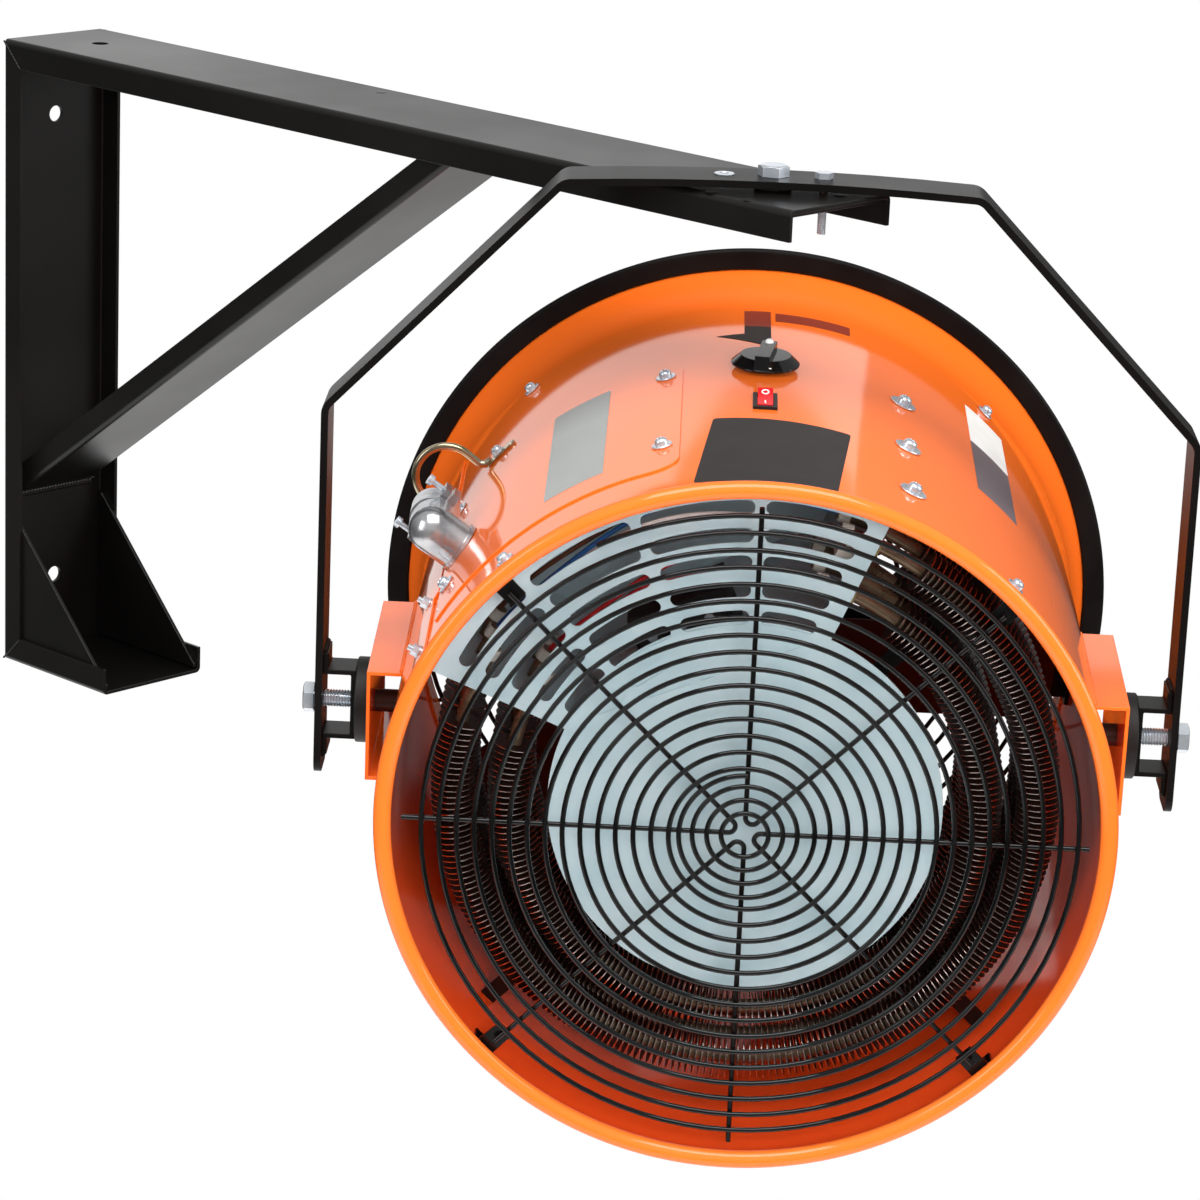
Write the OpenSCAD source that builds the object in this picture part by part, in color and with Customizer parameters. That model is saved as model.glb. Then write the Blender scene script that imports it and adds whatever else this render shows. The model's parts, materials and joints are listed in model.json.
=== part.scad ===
// Wall mounted salamander heater: a steel bracket, a swivelling yoke and a tilting drum
// with a fan behind rings of finned electric elements.
// The origin is midway between the two wall holes, on the wall face. The arm points to -Y.

/* [Wall bracket] */
// Length of the arm from the wall to its tip
arm_len = 824; // [780:1:900]
// Height of the leg on the wall
leg_h = 508; // [480:1:640]
// Length of the foot channel from the wall
foot_len = 128; // [110:1:150]
// Width of the bracket channels across the web
channel_w = 101.6; // [96:0.1:115]
// Depth of the channel flanges
flange_h = 21.4; // [18:0.1:26]
// Plate thickness of the bracket
plate_t = 3; // [2.5:0.1:4]
// Outer radius of the channel bends
channel_r = 4.5; // [4.2:0.1:6]
// Width of the brace channel
brace_w = 76.2; // [60:0.1:80]
// Depth of the brace channel
brace_h = 19; // [14:0.5:22]
// Slope of the brace above level
brace_angle = 35.4; // [30:0.1:40]
// Height where the underside of the brace meets the leg, above the bottom of the bracket
brace_foot_h = 138; // [125:1:170]
// Length of each gusset edge along the leg and the foot
gusset_len = 122; // [80:1:122]
// Distance between the two wall holes
wall_hole_pitch = 381; // [350:1:400]
// Distance of the upper wall hole below the top of the arm
wall_hole_drop = 63.5; // [40:0.5:70]
// Diameter of the wall holes and the hole in the arm
wall_hole_d = 12.7; // [8:0.1:14]
// Distance of the hole in the arm from the wall
arm_hole_y = 57; // [40:1:90]

/* [Swivel] */
// Distance of the swivel bolt from the arm's tip
swivel_inset = 61; // [50:1:70]
// Angle of the yoke about the swivel bolt as stored, zero with the yoke across the arm
rest_swivel = -47.67; // [-53:0.01:53]
// Largest angle of the yoke to either side
swivel_limit = 53; // [48:1:53]
// Diameter of the swivel and pivot bolts
bolt_d = 12.7; // [11:0.1:14]
// Diameter of the lock bolt
lock_d = 6.35; // [5:0.05:8]
// Distance of the lock bolt from the swivel bolt
lock_r = 34; // [30:0.5:38]
// Distance of the spare hole from the swivel bolt
spare_r = 33; // [30:0.5:38]
// Thickness of the washer between the arm and the yoke
washer_t = 3.2; // [3:0.1:5]
// Length of the nut plate under the arm
nut_plate_len = 120; // [110:1:140]

/* [Yoke] */
// Width of the yoke bar
bar_w = 46.3; // [40:0.1:50]
// Thickness of the yoke bar
bar_t = 5; // [4:0.1:6]
// Half length of the top run, to the bend
top_half = 141; // [130:1:160]
// Fall of the top run from its middle to the bends
crown = 4.5; // [3:0.1:4.5]
// Depth of the lower bends below the top of the arm
lower_bend = 159.6; // [140:0.1:170]
// Outer radius of the bends in the bar
bar_r = 14; // [8:0.5:20]
// Depth of the tilt pivot below the top of the arm
pivot_drop = 374.6; // [370:0.1:420]
// Length of the legs below the pivot
leg_tail = 50; // [40:1:60]
// Corner radius at the leg ends
leg_end_r = 12; // [4:1:18]

/* [Pivots] */
// Distance of the outer face of a trunnion from the drum wall
trunnion_reach = 20; // [18:0.5:30]
// Half height of the trunnions
trunnion_half = 40; // [34:1:50]
// Reach of the trunnions to the front of the pivot
trunnion_front = 50; // [35:1:70]
// Reach of the trunnions behind the pivot
trunnion_back = 92; // [40:1:100]
// Sheet thickness of the trunnions
trunnion_t = 2.5; // [2:0.1:3]
// Diameter of the rubber friction discs
disc_d = 60; // [54:1:66]
// Thickness of the rubber friction discs
disc_t = 10; // [6:0.1:14]
// Depth of the hat brackets between the discs and the yoke
spacer_depth = 22.7; // [18:0.1:30]
// Height of the hat brackets over their flanges
spacer_h = 50; // [44:1:56]
// Width of the hat brackets
spacer_w = 30; // [26:1:40]
// Plate thickness of the hat brackets
spacer_t = 3.5; // [2.5:0.1:4]
// Length of the feet of the hat brackets
spacer_foot = 12; // [8:1:16]
// Diameter of the threaded sleeves in the trunnions
sleeve_d = 16; // [15.5:0.5:18]

/* [Drum] */
// Outer radius of the drum wall
drum_r = 241; // [236:0.5:246]
// Sheet thickness of the drum
drum_t = 1.5; // [1:0.1:2]
// Distance of the front plane of the rim from the pivot
front_a = 202.4; // [200:0.1:215]
// Distance of the rear end of the drum wall behind the pivot
rear_a = 200; // [190:1:210]
// Diameter of the rolled bead at the front rim
bead_d = 11.8; // [8:0.1:13]
// Length of the flared rear bell
bell_len = 61.5; // [50:0.5:75]
// Growth of the bell's radius over its length
bell_rise = 13.4; // [8:0.1:20]
// Width of the black trim ring
trim_w = 16.2; // [10:0.1:22]
// Thickness of the black trim ring
trim_t = 6; // [4:0.5:9]
// Depth of the drum axis below the pivot
drum_drop = 4.4; // [0:0.1:8]
// Tilt of the drum as stored, nose down
rest_tilt = 3.77; // [-20:0.01:20]

/* [Front guard] */
// Diameter of the guard wires
wire_d = 3.5; // [2.5:0.1:4]
// Distance between the outer turn of the guard and the drum wall
guard_gap = 17.5; // [15:0.5:40]
// Radius where the spiral starts
spiral_r0 = 42; // [40:1:60]
// Growth of the spiral in each turn
spiral_pitch = 11.6; // [9:0.1:16]
// Distance of the guard behind the front plane of the drum
guard_inset = 4.4; // [4.2:0.1:12]

/* [Heating] */
// Radius of the round centre baffle
baffle_r = 131.5; // [120:0.5:138]
// Distance of the front of the slotted plate from the pivot
plate_a = 152.2; // [145:0.1:160]
// Sheet thickness of the baffle, the plate and the box
sheet_t = 1.2; // [0.8:0.1:2]
// Distance of the chord of the slotted plate from the drum axis
chord_r = 90; // [80:1:110]
// Middle angle of the terminal box around the drum
box_mid = 112.5; // [105:0.5:120]
// Angle that the terminal box takes of the circle
box_span = 90; // [70:1:100]
// Depth of the terminal box along the drum
box_depth = 238; // [228:1:242]
// Radius of the first row of slots
slot_r0 = 97; // [96:0.5:110]
// Distance between the rows of slots
slot_pitch = 19; // [14:0.5:24]
// Width of the slots
slot_w = 10; // [6:0.5:12]
// Radius of the inner element loops
inner_loop = 158; // [155:1:160]
// Radius of the outer element loops
outer_loop = 196; // [194:1:205]
// Diameter of the fins on the elements
fin_d = 30; // [24:0.5:32]
// Distance between neighbouring fins
fin_pitch = 12; // [8:0.5:24]
// Thickness of a fin
fin_t = 0.8; // [0.4:0.1:1.5]
// Diameter of the element tubes
tube_d = 9.5; // [8:0.1:12]
// Distance between the element rows along the drum
row_pitch = 37; // [34:0.5:37]

/* [Fan and motor] */
// Distance between the blade tips and the drum wall
tip_gap = 15.5; // [10:0.5:50]
// Number of fan blades
blades = 5; // [3:1:7]
// Distance of the middle of the fan behind the pivot
fan_a = 125; // [115:1:130]
// Radius of the motor body
motor_r = 66; // [55:1:75]
// Length of the motor body
motor_len = 82; // [60:1:84]
// Diameter of the motor shaft
shaft_d = 12; // [8:0.5:16]

/* [Controls and fittings] */
// Angle of the knob around the drum
knob_th = 89.5; // [80:0.1:100]
// Distance of the knob behind the pivot
knob_a = 61; // [50:1:64]
// Diameter of the knob's skirt
knob_d = 47.5; // [40:0.5:50]
// Distance of the rocker switch in front of the pivot
rocker_a = 20.5; // [10:0.5:60]
// Thickness of the access cover
cover_t = 1.2; // [0.8:0.1:2]
// Diameter of the cable connector
conn_d = 33; // [28:0.5:36]
// Diameter of the bore of the cable connector
conn_bore = 20.6; // [16:0.1:21]
// Diameter of the rod of the cord hook
hook_d = 4.8; // [4:0.1:6]

/* [Hidden] */
$fn = 96;

// Running clearance between a shaft and its bore, measured on the radius
run_gap = 0.05;
// Small gap between neighbours that move against each other
face_gap = 0.3;
// Gap under and over the yoke bar at the swivel bolt
seat_gap = 0.1;
// Gap between the drum wall and what is fixed to its inside
weld_gap = 0.1;
// Gap between the drum wall and the sheets that lie on its outside
skin_gap = 0.1;
// Length by which a cut runs past the face it goes through
over = 1;

top_z = wall_hole_drop + wall_hole_pitch / 2;
bottom_z = top_z - leg_h;
swivel_y = -(arm_len - swivel_inset);
bolt_r = bolt_d / 2;
bore_r = bolt_r + run_gap;
lock_slot_w = lock_d + 1.6;
bar_top = washer_t + seat_gap + bar_t;
face_x = drum_r + trunnion_reach;
spacer_x = face_x + face_gap + disc_t;
side_half = spacer_x + spacer_depth + bar_t;
head_gap = 2.2;
hex_flats = 1.5 * bolt_d;
head_h = 0.6 * bolt_d;
drum_in = drum_r - drum_t;
guard_r = drum_in - guard_gap;
fan_r = drum_in - tip_gap;
bead_a = front_a - bead_d / 2;
bead_r = drum_r + 2.8 - bead_d / 2;
bell_end = rear_a + bell_len;
guard_a = front_a - guard_inset;
back_plate_a = plate_a - sheet_t;
rear_gap = 3.5;

// Point at radius r and angle a around c.
function on_circle(c, r, a) = [c[0] + r * cos(a), c[1] + r * sin(a)];

// Puts children at the swivel bolt on top of the arm, X along the yoke and -Y to the front.
module at_yoke() {
    translate([0, swivel_y, top_z]) rotate([0, 0, rest_swivel]) children();
}

// Puts children at the middle of the tilt axis, turned with the yoke.
module at_pivot() {
    at_yoke() translate([0, 0, -pivot_drop]) children();
}

// Puts children in the drum: Z is the drum axis to the front, X to the right seen from the front, Y up.
module at_drum() {
    at_pivot() rotate([rest_tilt, 0, 0]) translate([0, 0, -drum_drop]) rotate([90, 0, 0]) children();
}

// Puts children on a cylinder around the drum axis: X points outwards, Y around, Z to the front.
module on_drum(th, a, r = drum_r) {
    rotate([0, 0, th]) translate([r, 0, a]) children();
}

// Mirrors children to the left side when side is -1.
module to_side(side) {
    mirror([side < 0 ? 1 : 0, 0, 0]) children();
}

// Hexagon prism by its width across flats, standing on z = 0.
module hex(flats, h) {
    cylinder(r = flats / 2 / cos(30), h = h, $fn = 6);
}

// Pipe or washer standing on z = 0.
module ring(r_out, r_in, h) {
    difference() {
        cylinder(r = r_out, h = h);
        translate([0, 0, -over]) cylinder(r = r_in, h = h + 2 * over);
    }
}

// Part of a ring between two angles, standing on z = 0.
module sector(r_in, r_out, a0, a1, h) {
    rotate([0, 0, a0]) rotate_extrude(angle = a1 - a0) translate([r_in, 0]) square([r_out - r_in, h]);
}

// Part of a round wire ring of radius r around Z between two angles.
module wire_arc(r, d, a0, a1) {
    rotate([0, 0, a0]) rotate_extrude(angle = a1 - a0) translate([r, 0]) circle(d = d, $fn = 24);
}

// Pan head screw whose head stands on z = 0, with its shank below.
module pan_screw(d, head_d, head_h, len) {
    cylinder(d = head_d, h = head_h * 0.55, $fn = 32);
    translate([0, 0, head_h * 0.55]) cylinder(d1 = head_d, d2 = head_d * 0.7, h = head_h * 0.45, $fn = 32);
    translate([0, 0, -len]) cylinder(d = d, h = len, $fn = 24);
}

// Outline of a channel's outside, web on top at y = 0, corners rounded.
module channel_outline(w, h, r) {
    translate([-w / 2 + r, -h]) square([w - 2 * r, h]);
    translate([-w / 2, -h]) square([w, h - r]);
    for (s = [-1, 1]) translate([s * (w / 2 - r), -r]) circle(r = r, $fn = 32);
}

// Channel along -Y from the wall, web on top, flanges down.
module channel(len, w, h) {
    rotate([90, 0, 0]) linear_extrude(len) difference() {
        channel_outline(w, h, channel_r);
        translate([0, -plate_t]) channel_outline(w - 2 * plate_t, h, channel_r - plate_t);
    }
}

// Block on the far side of the mitre plane between two channels; side 1 is above it, -1 below.
module mitre_cut(side) {
    rotate([-45, 0, 0]) translate([-channel_w, side > 0 ? 0 : -2 * channel_w, -leg_h])
        cube([2 * channel_w, 2 * channel_w, 2 * leg_h]);
}

// Curved slot that lets the lock bolt travel with the yoke, standing on z = 0.
module lock_slot(h) {
    sector(lock_r - lock_slot_w / 2, lock_r + lock_slot_w / 2, -swivel_limit, swivel_limit, h);
    for (a = [-swivel_limit, swivel_limit]) rotate([0, 0, a]) translate([lock_r, 0, 0])
        cylinder(d = lock_slot_w, h = h);
}

// Holes for the swivel bolt and the lock bolt through the plates at the arm's tip.
module swivel_holes(z, h) {
    translate([0, swivel_y, z]) {
        cylinder(r = bore_r, h = h);
        lock_slot(h);
    }
}

module arm_channel() color([0.09, 0.09, 0.09]) {
    difference() {
        translate([0, 0, top_z]) channel(arm_len, channel_w, flange_h);
        translate([0, 0, top_z]) mitre_cut(1);
        swivel_holes(top_z - plate_t - over, plate_t + 2 * over);
        translate([0, -arm_hole_y, top_z - plate_t - over])
            cylinder(d = wall_hole_d, h = plate_t + 2 * over);
    }
}

module wall_channel() color([0.09, 0.09, 0.09]) {
    difference() {
        translate([0, 0, bottom_z]) rotate([-90, 0, 0]) channel(leg_h, channel_w, flange_h);
        translate([0, 0, top_z]) mitre_cut(-1);
        translate([0, 0, bottom_z]) mirror([0, 0, 1]) mitre_cut(-1);
        for (s = [-1, 1]) translate([0, over, s * wall_hole_pitch / 2]) rotate([90, 0, 0])
            cylinder(d = wall_hole_d, h = plate_t + 2 * over);
    }
}

module foot_channel() color([0.09, 0.09, 0.09]) {
    difference() {
        translate([0, 0, bottom_z]) mirror([0, 0, 1]) channel(foot_len, channel_w, flange_h);
        translate([0, 0, bottom_z]) mirror([0, 0, 1]) mitre_cut(1);
    }
}

// The brace is a narrower channel, web underneath, cut to fit between the leg's web and the arm's web.
module brace_channel() color([0.09, 0.09, 0.09]) {
    intersection() {
        translate([0, -plate_t, bottom_z + brace_foot_h]) rotate([-brace_angle, 0, 0])
            translate([0, leg_h, 0]) mirror([0, 0, 1]) channel(3 * leg_h, brace_w, brace_h);
        translate([-channel_w, -arm_len, bottom_z])
            cube([2 * channel_w, arm_len - plate_t, leg_h - plate_t]);
    }
}

// Triangular plate just inside the flanges in the corner of leg and foot.
module gusset(side) {
    inner = channel_w / 2 - plate_t;
    start = channel_r;
    translate([side > 0 ? inner - plate_t : -inner, 0, 0]) rotate([90, 0, 90]) linear_extrude(plate_t)
        polygon([
            [-start, bottom_z + start],
            [-start - gusset_len, bottom_z + start],
            [-start - gusset_len, bottom_z + start + plate_t],
            [-start - plate_t, bottom_z + start + gusset_len],
            [-start, bottom_z + start + gusset_len]
        ]);
}

module gusset_left() color([0.09, 0.09, 0.09]) gusset(-1);

module gusset_right() color([0.09, 0.09, 0.09]) gusset(1);

module nut_plate() color([0.09, 0.09, 0.09]) {
    half = channel_w / 2 - channel_r;
    back = 4;
    difference() {
        translate([-half, -arm_len + back, top_z - 2 * plate_t]) cube([2 * half, nut_plate_len, plate_t]);
        swivel_holes(top_z - 2 * plate_t - over, plate_t + 2 * over);
    }
}

// Hexagon bolt with its head on z = 0 and a shank of the given length below.
module hex_bolt(len) {
    corner_r = hex_flats / 2 / cos(30);
    chamfer = 0.1 * bolt_d;
    intersection() {
        hex(hex_flats, head_h);
        union() {
            cylinder(r = corner_r + over, h = head_h - chamfer);
            translate([0, 0, head_h - chamfer])
                cylinder(r1 = corner_r, r2 = corner_r - 2 * chamfer, h = chamfer);
        }
    }
    translate([0, 0, -len]) cylinder(r = bolt_r, h = len);
}

module swivel_bolt() color([0.75, 0.78, 0.82]) {
    nut_bottom = 2 * plate_t + 0.85 * bolt_d + 3;
    translate([0, swivel_y, top_z + bar_top + seat_gap]) hex_bolt(bar_top + seat_gap + nut_bottom);
}

module swivel_washer() color([0.12, 0.12, 0.12]) {
    translate([0, swivel_y, top_z]) ring(bolt_d, bore_r, washer_t);
}

module swivel_nut() color([0.75, 0.78, 0.82]) {
    translate([0, swivel_y, top_z - 2 * plate_t - 0.85 * bolt_d]) difference() {
        hex(hex_flats, 0.85 * bolt_d);
        translate([0, 0, -over]) cylinder(r = bore_r, h = bolt_d + 2 * over);
    }
}

// Outline of the yoke bar: points on its outer face, each with its outward normal, for the right half.
bend_top = [top_half, bar_top - crown];
bend_low = [side_half, -lower_bend];
slope_n = 90 - atan2(bend_top[1] - bend_low[1], bend_low[0] - bend_top[0]);
crown_n = 90 - atan2(2 * crown, top_half);

// Centre of the arc that rounds a corner at p between faces whose normals point at a and b.
function bend_centre(p, r, a, b) =
    let (k = r / (1 + cos(a - b)))
    [p[0] - k * (cos(a) + cos(b)), p[1] - k * (sin(a) + sin(b))];

bend_steps = 8;
centre_top = bend_centre(bend_top, bar_r, crown_n, slope_n);
centre_low = bend_centre(bend_low, bar_r, slope_n, 0);
crown_end = centre_top[0] + bar_r * cos(crown_n);

// The right half of the bar's face at depth d below its outer surface, from the middle to the leg's end.
function half_face(d, end) = concat(
    [for (i = [0:bend_steps - 1])
        let (s = crown_end * i / bend_steps, n = 90 - atan2(2 * crown * s / top_half, top_half))
        [s - d * cos(n), bar_top - crown * pow(s / top_half, 2) - d * sin(n)]],
    [for (i = [0:bend_steps])
        on_circle(centre_top, bar_r - d, crown_n + (slope_n - crown_n) * i / bend_steps)],
    [for (i = [0:bend_steps]) on_circle(centre_low, bar_r - d, slope_n * (1 - i / bend_steps))],
    [[side_half - d, end]]
);

function mirrored(points) = [for (i = [len(points) - 1:-1:0]) [-points[i][0], points[i][1]]];

module yoke_bar() color([0.09, 0.09, 0.09]) {
    leg_end = -pivot_drop - leg_tail;
    outer = half_face(0, leg_end);
    inner = half_face(bar_t, leg_end);
    corner = bar_w / 2 - leg_end_r;
    at_yoke() difference() {
        intersection() {
            rotate([90, 0, 0]) linear_extrude(bar_w, center = true)
                polygon(concat(outer, [for (i = [len(inner) - 1:-1:0]) inner[i]],
                    [for (i = [1:len(inner) - 1]) [-inner[i][0], inner[i][1]]], mirrored(outer)));
            translate([-2 * side_half, 0, 0]) rotate([90, 0, 90]) linear_extrude(4 * side_half) {
                translate([-bar_w / 2, leg_end + leg_end_r]) square([bar_w, pivot_drop + lower_bend]);
                translate([-corner, leg_end]) square([2 * corner, 2 * leg_end_r]);
                for (s = [-1, 1]) translate([s * corner, leg_end + leg_end_r]) circle(r = leg_end_r);
            }
        }
        translate([0, 0, -lower_bend]) cylinder(r = bore_r, h = 2 * lower_bend);
        translate([lock_r, 0, -bar_t]) cylinder(d = lock_d + 2 * run_gap, h = 4 * bar_t);
        translate([-spare_r, 0, -bar_t]) cylinder(d = 1.7 * lock_d, h = 4 * bar_t);
        translate([-2 * side_half, 0, -pivot_drop]) rotate([0, 90, 0])
            cylinder(r = bore_r, h = 4 * side_half);
    }
}

module lock_bolt() color([0.75, 0.78, 0.82]) {
    seat = bar_top - crown * pow((lock_r - lock_d) / top_half, 2);
    at_yoke() translate([lock_r, 0, seat]) {
        hex(1.75 * lock_d, 0.65 * lock_d);
        translate([0, 0, -6 * lock_d]) cylinder(d = lock_d, h = 6 * lock_d);
    }
}

// Hat bracket between the friction disc and the yoke's leg, its feet welded to the leg.
module spacer(side) {
    x0 = spacer_x;
    x1 = spacer_x + spacer_depth;
    z1 = spacer_h / 2;
    at_pivot() to_side(side) difference() {
        rotate([90, 0, 0]) linear_extrude(spacer_w, center = true) {
            translate([x0, -z1]) square([spacer_t, spacer_h]);
            for (s = [-1, 1]) {
                translate([x0, s > 0 ? z1 - spacer_t : -z1]) square([spacer_depth, spacer_t]);
                translate([x1 - spacer_t, s > 0 ? z1 - spacer_t : -z1 - spacer_foot])
                    square([spacer_t, spacer_foot + spacer_t]);
            }
        }
        translate([x0 - over, 0, 0]) rotate([0, 90, 0]) cylinder(r = bore_r, h = spacer_t + 2 * over);
    }
}

module spacer_left() color([0.12, 0.12, 0.12]) spacer(-1);

module spacer_right() color([0.12, 0.12, 0.12]) spacer(1);

module friction_disc(side) {
    at_pivot() to_side(side) translate([face_x + face_gap, 0, 0]) rotate([0, 90, 0])
        ring(disc_d / 2, bore_r, disc_t);
}

module friction_disc_left() color([0.1, 0.1, 0.1]) friction_disc(-1);

module friction_disc_right() color([0.1, 0.1, 0.1]) friction_disc(1);

// Pivot bolt through the leg, the hat bracket and the disc into the trunnion's sleeve.
module pivot_bolt(side) {
    at_pivot() to_side(side) translate([side_half + head_gap, 0, 0]) rotate([0, 90, 0])
        hex_bolt(side_half + head_gap - drum_r - over);
}

module pivot_bolt_left() color([0.75, 0.78, 0.82]) pivot_bolt(-1);

module pivot_bolt_right() color([0.75, 0.78, 0.82]) pivot_bolt(1);

module drum_shell() color([0.95, 0.45, 0.16]) {
    window_w = bezel_w - 2 * bezel_lip + 2 * wall_gap;
    window_l = bezel_l - 2 * bezel_lip + 2 * wall_gap;
    at_drum() {
        difference() {
            translate([0, 0, -rear_a]) ring(drum_r, drum_in, rear_a + bead_a);
            on_drum(knob_th, -knob_a) rotate([0, 90, 0]) translate([0, 0, -2 * knob_shaft])
                cylinder(d = knob_shaft + 2 * run_gap, h = 4 * knob_shaft);
            on_drum(bezel_th, rocker_a)
                cube([4 * bezel_neck, window_w, window_l], center = true);
            on_drum(conn_th, conn_a) rotate([0, 90, 0]) translate([0, 0, -conn_bore / 2])
                cylinder(d = conn_bore, h = conn_bore);
        }
        translate([0, 0, bead_a]) rotate_extrude() translate([bead_r, 0]) circle(d = bead_d, $fn = 32);
    }
}

// The bell is an arc that leaves the drum along its axis, then turns out into a flat flange.
bell_arc_r = (bell_len * bell_len + bell_rise * bell_rise) / (2 * bell_rise);
bell_arc_a = asin(bell_len / bell_arc_r);

bell_steps = 12;

// Inner radius of the bell at a distance behind the end of the drum wall.
function bell_inside(back) = drum_r + bell_arc_r - sqrt(pow(bell_arc_r + drum_t, 2) - back * back);

// The bell's outline from the drum wall to the flange, at depth d below its outer face.
function bell_line(d) = [for (i = [0:bell_steps])
    on_circle([drum_r + bell_arc_r, -rear_a], bell_arc_r + d, 180 + bell_arc_a * i / bell_steps)];

module rear_bell() color([0.93, 0.42, 0.14]) {
    spigot = 26;
    flange_r = drum_r + bell_rise + trim_w - 3;
    inner = bell_line(drum_t);
    at_drum() rotate_extrude() polygon(concat(
        [[drum_in - drum_t, -rear_a + spigot], [drum_in, -rear_a + spigot], [drum_in, -rear_a]],
        bell_line(0),
        [[flange_r, -bell_end], [flange_r, -bell_end - drum_t], [inner[bell_steps][0], -bell_end - drum_t]],
        [for (i = [bell_steps - 1:-1:1]) inner[i]],
        [[drum_in - drum_t, -rear_a]]
    ));
}

module rear_trim_ring() color([0.11, 0.1, 0.09]) {
    r0 = drum_r + bell_rise;
    flange_gap = 0.05;
    at_drum() difference() {
        translate([0, 0, -bell_end - drum_t - (trim_t - drum_t) / 2]) {
            ring(r0 + trim_w - trim_t / 2, r0, trim_t);
            translate([0, 0, trim_t / 2]) rotate_extrude() translate([r0 + trim_w - trim_t / 2, 0])
                circle(d = trim_t, $fn = 32);
        }
        translate([0, 0, -bell_end - drum_t - flange_gap])
            cylinder(r = r0 + trim_w - 3, h = drum_t + 2 * flange_gap);
    }
}

// Folded bracket on the side of the drum that the pivot bolt screws into, open to the front and rear.
module trunnion(side) {
    depth = trunnion_front + trunnion_back;
    at_pivot() rotate([rest_tilt, 0, 0]) to_side(side) difference() {
        translate([0, -trunnion_front, -trunnion_half]) difference() {
            cube([face_x, depth, 2 * trunnion_half]);
            translate([-over, -over, trunnion_t])
                cube([face_x - trunnion_t + over, depth + 2 * over, 2 * trunnion_half - 2 * trunnion_t]);
        }
        translate([0, 2 * rear_a, -drum_drop]) rotate([90, 0, 0]) cylinder(r = drum_r, h = 4 * rear_a);
        translate([face_x - 2 * trunnion_t, 0, 0]) rotate([0, 90, 0])
            cylinder(r = bore_r, h = 3 * trunnion_t);
    }
}

module trunnion_left() color([0.95, 0.45, 0.16]) trunnion(-1);

module trunnion_right() color([0.95, 0.45, 0.16]) trunnion(1);

// Threaded sleeve welded inside the trunnion.
module sleeve(side) {
    at_pivot() rotate([rest_tilt, 0, 0]) to_side(side) difference() {
        translate([drum_r - 1, 0, 0]) rotate([0, 90, 0])
            ring(sleeve_d / 2, bore_r, trunnion_reach - trunnion_t + 1);
        translate([0, 2 * rear_a, -drum_drop]) rotate([90, 0, 0]) cylinder(r = drum_r, h = 4 * rear_a);
    }
}

module sleeve_left() color([0.16, 0.1, 0.08]) sleeve(-1);

module sleeve_right() color([0.16, 0.1, 0.08]) sleeve(1);

// The spiral is drawn in half turns whose centres alternate, so its radius grows evenly.
first_turn = 5;
half_turns = 2 + floor(2 * (guard_r - spiral_r0 - first_turn) / spiral_pitch);

// Radius of half turn i, and how far its centre lies from the axis, to the side it starts from.
function turn_growth(i) = i < 2 ? first_turn : spiral_pitch;
function turn_start(i) = i == 0 ? spiral_r0 : turn_start(i - 1) + turn_growth(i - 1) / 2;

module front_guard_spiral() color([0.06, 0.06, 0.06]) {
    at_drum() translate([0, 0, guard_a]) {
        for (i = [0:half_turns - 1]) {
            r0 = turn_start(i);
            r1 = turn_start(i + 1);
            rotate([0, 0, i % 2 == 0 ? 90 : 270]) translate([(r0 - r1) / 2, 0, 0])
                wire_arc((r0 + r1) / 2, wire_d, 0, 180);
        }
        for (r = [15.5, 25, 34.5]) wire_arc(r, wire_d, 0, 360);
    }
}

// Each of four wires makes two spokes, joined by a tight bend inside the hub ring.
module front_guard_spokes() color([0.06, 0.06, 0.06]) {
    bend_r = 4.5;
    start = bend_r / tan(22.5);
    at_drum() translate([0, 0, guard_a - wire_d - run_gap]) for (k = [0:3]) rotate([0, 0, 90 * k + 67.5]) {
        for (s = [-1, 1]) rotate([0, 0, s * 22.5]) translate([start, 0, 0]) rotate([0, 90, 0])
            cylinder(d = wire_d, h = guard_r + wire_d - start, $fn = 24);
        translate([bend_r / sin(22.5), 0, 0]) wire_arc(bend_r, wire_d, 112.5, 247.5);
    }
}

// Bent clips that hold the guard's spokes to the drum wall, just behind the rolled bead.
module guard_clips() color([0.07, 0.07, 0.07]) {
    clip_a = 1.7;
    clip_t = 2;
    clip_len = 22;
    top_a = bead_a - bead_d / 2 - wall_gap;
    spoke_a = guard_a - 1.5 * wire_d - 2 * run_gap;
    r0 = guard_r - 5;
    at_drum() for (th = [45:90:315]) {
        translate([0, 0, top_a - clip_len])
            sector(drum_in - wall_gap - clip_t, drum_in - wall_gap, th - clip_a, th + clip_a, clip_len);
        translate([0, 0, top_a - clip_t]) sector(r0, drum_in - wall_gap, th - clip_a, th + clip_a, clip_t);
        translate([0, 0, top_a - clip_t])
            sector(r0, r0 + clip_t, th - clip_a, th + clip_a, spoke_a - top_a + clip_t);
    }
}

// Rear guard of concentric wires on radial spokes, clipped inside the bell.
module rear_guard() color([0.07, 0.07, 0.07]) {
    rings = 13;
    spoke_end = bell_inside(bell_len - rear_gap - 1.5 * wire_d) - wall_gap;
    outer = spoke_end - wire_d;
    inner = 60;
    at_drum() translate([0, 0, -bell_end + rear_gap]) {
        for (i = [0:rings]) wire_arc(inner + (outer - inner) * i / rings, wire_d, 0, 360);
        for (k = [0:7]) rotate([0, 0, 45 * k + 22.5]) translate([inner - wire_d, 0, wire_d + run_gap])
            rotate([0, 90, 0]) cylinder(d = wire_d, h = spoke_end - inner + wire_d, $fn = 24);
    }
}

module centre_baffle() color([0.75, 0.82, 0.86]) {
    at_drum() translate([0, 0, back_plate_a - sheet_t]) cylinder(r = baffle_r, h = sheet_t);
}

box_a0 = box_mid - box_span / 2;
box_a1 = box_mid + box_span / 2;
wall_gap = 0.3;

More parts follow.
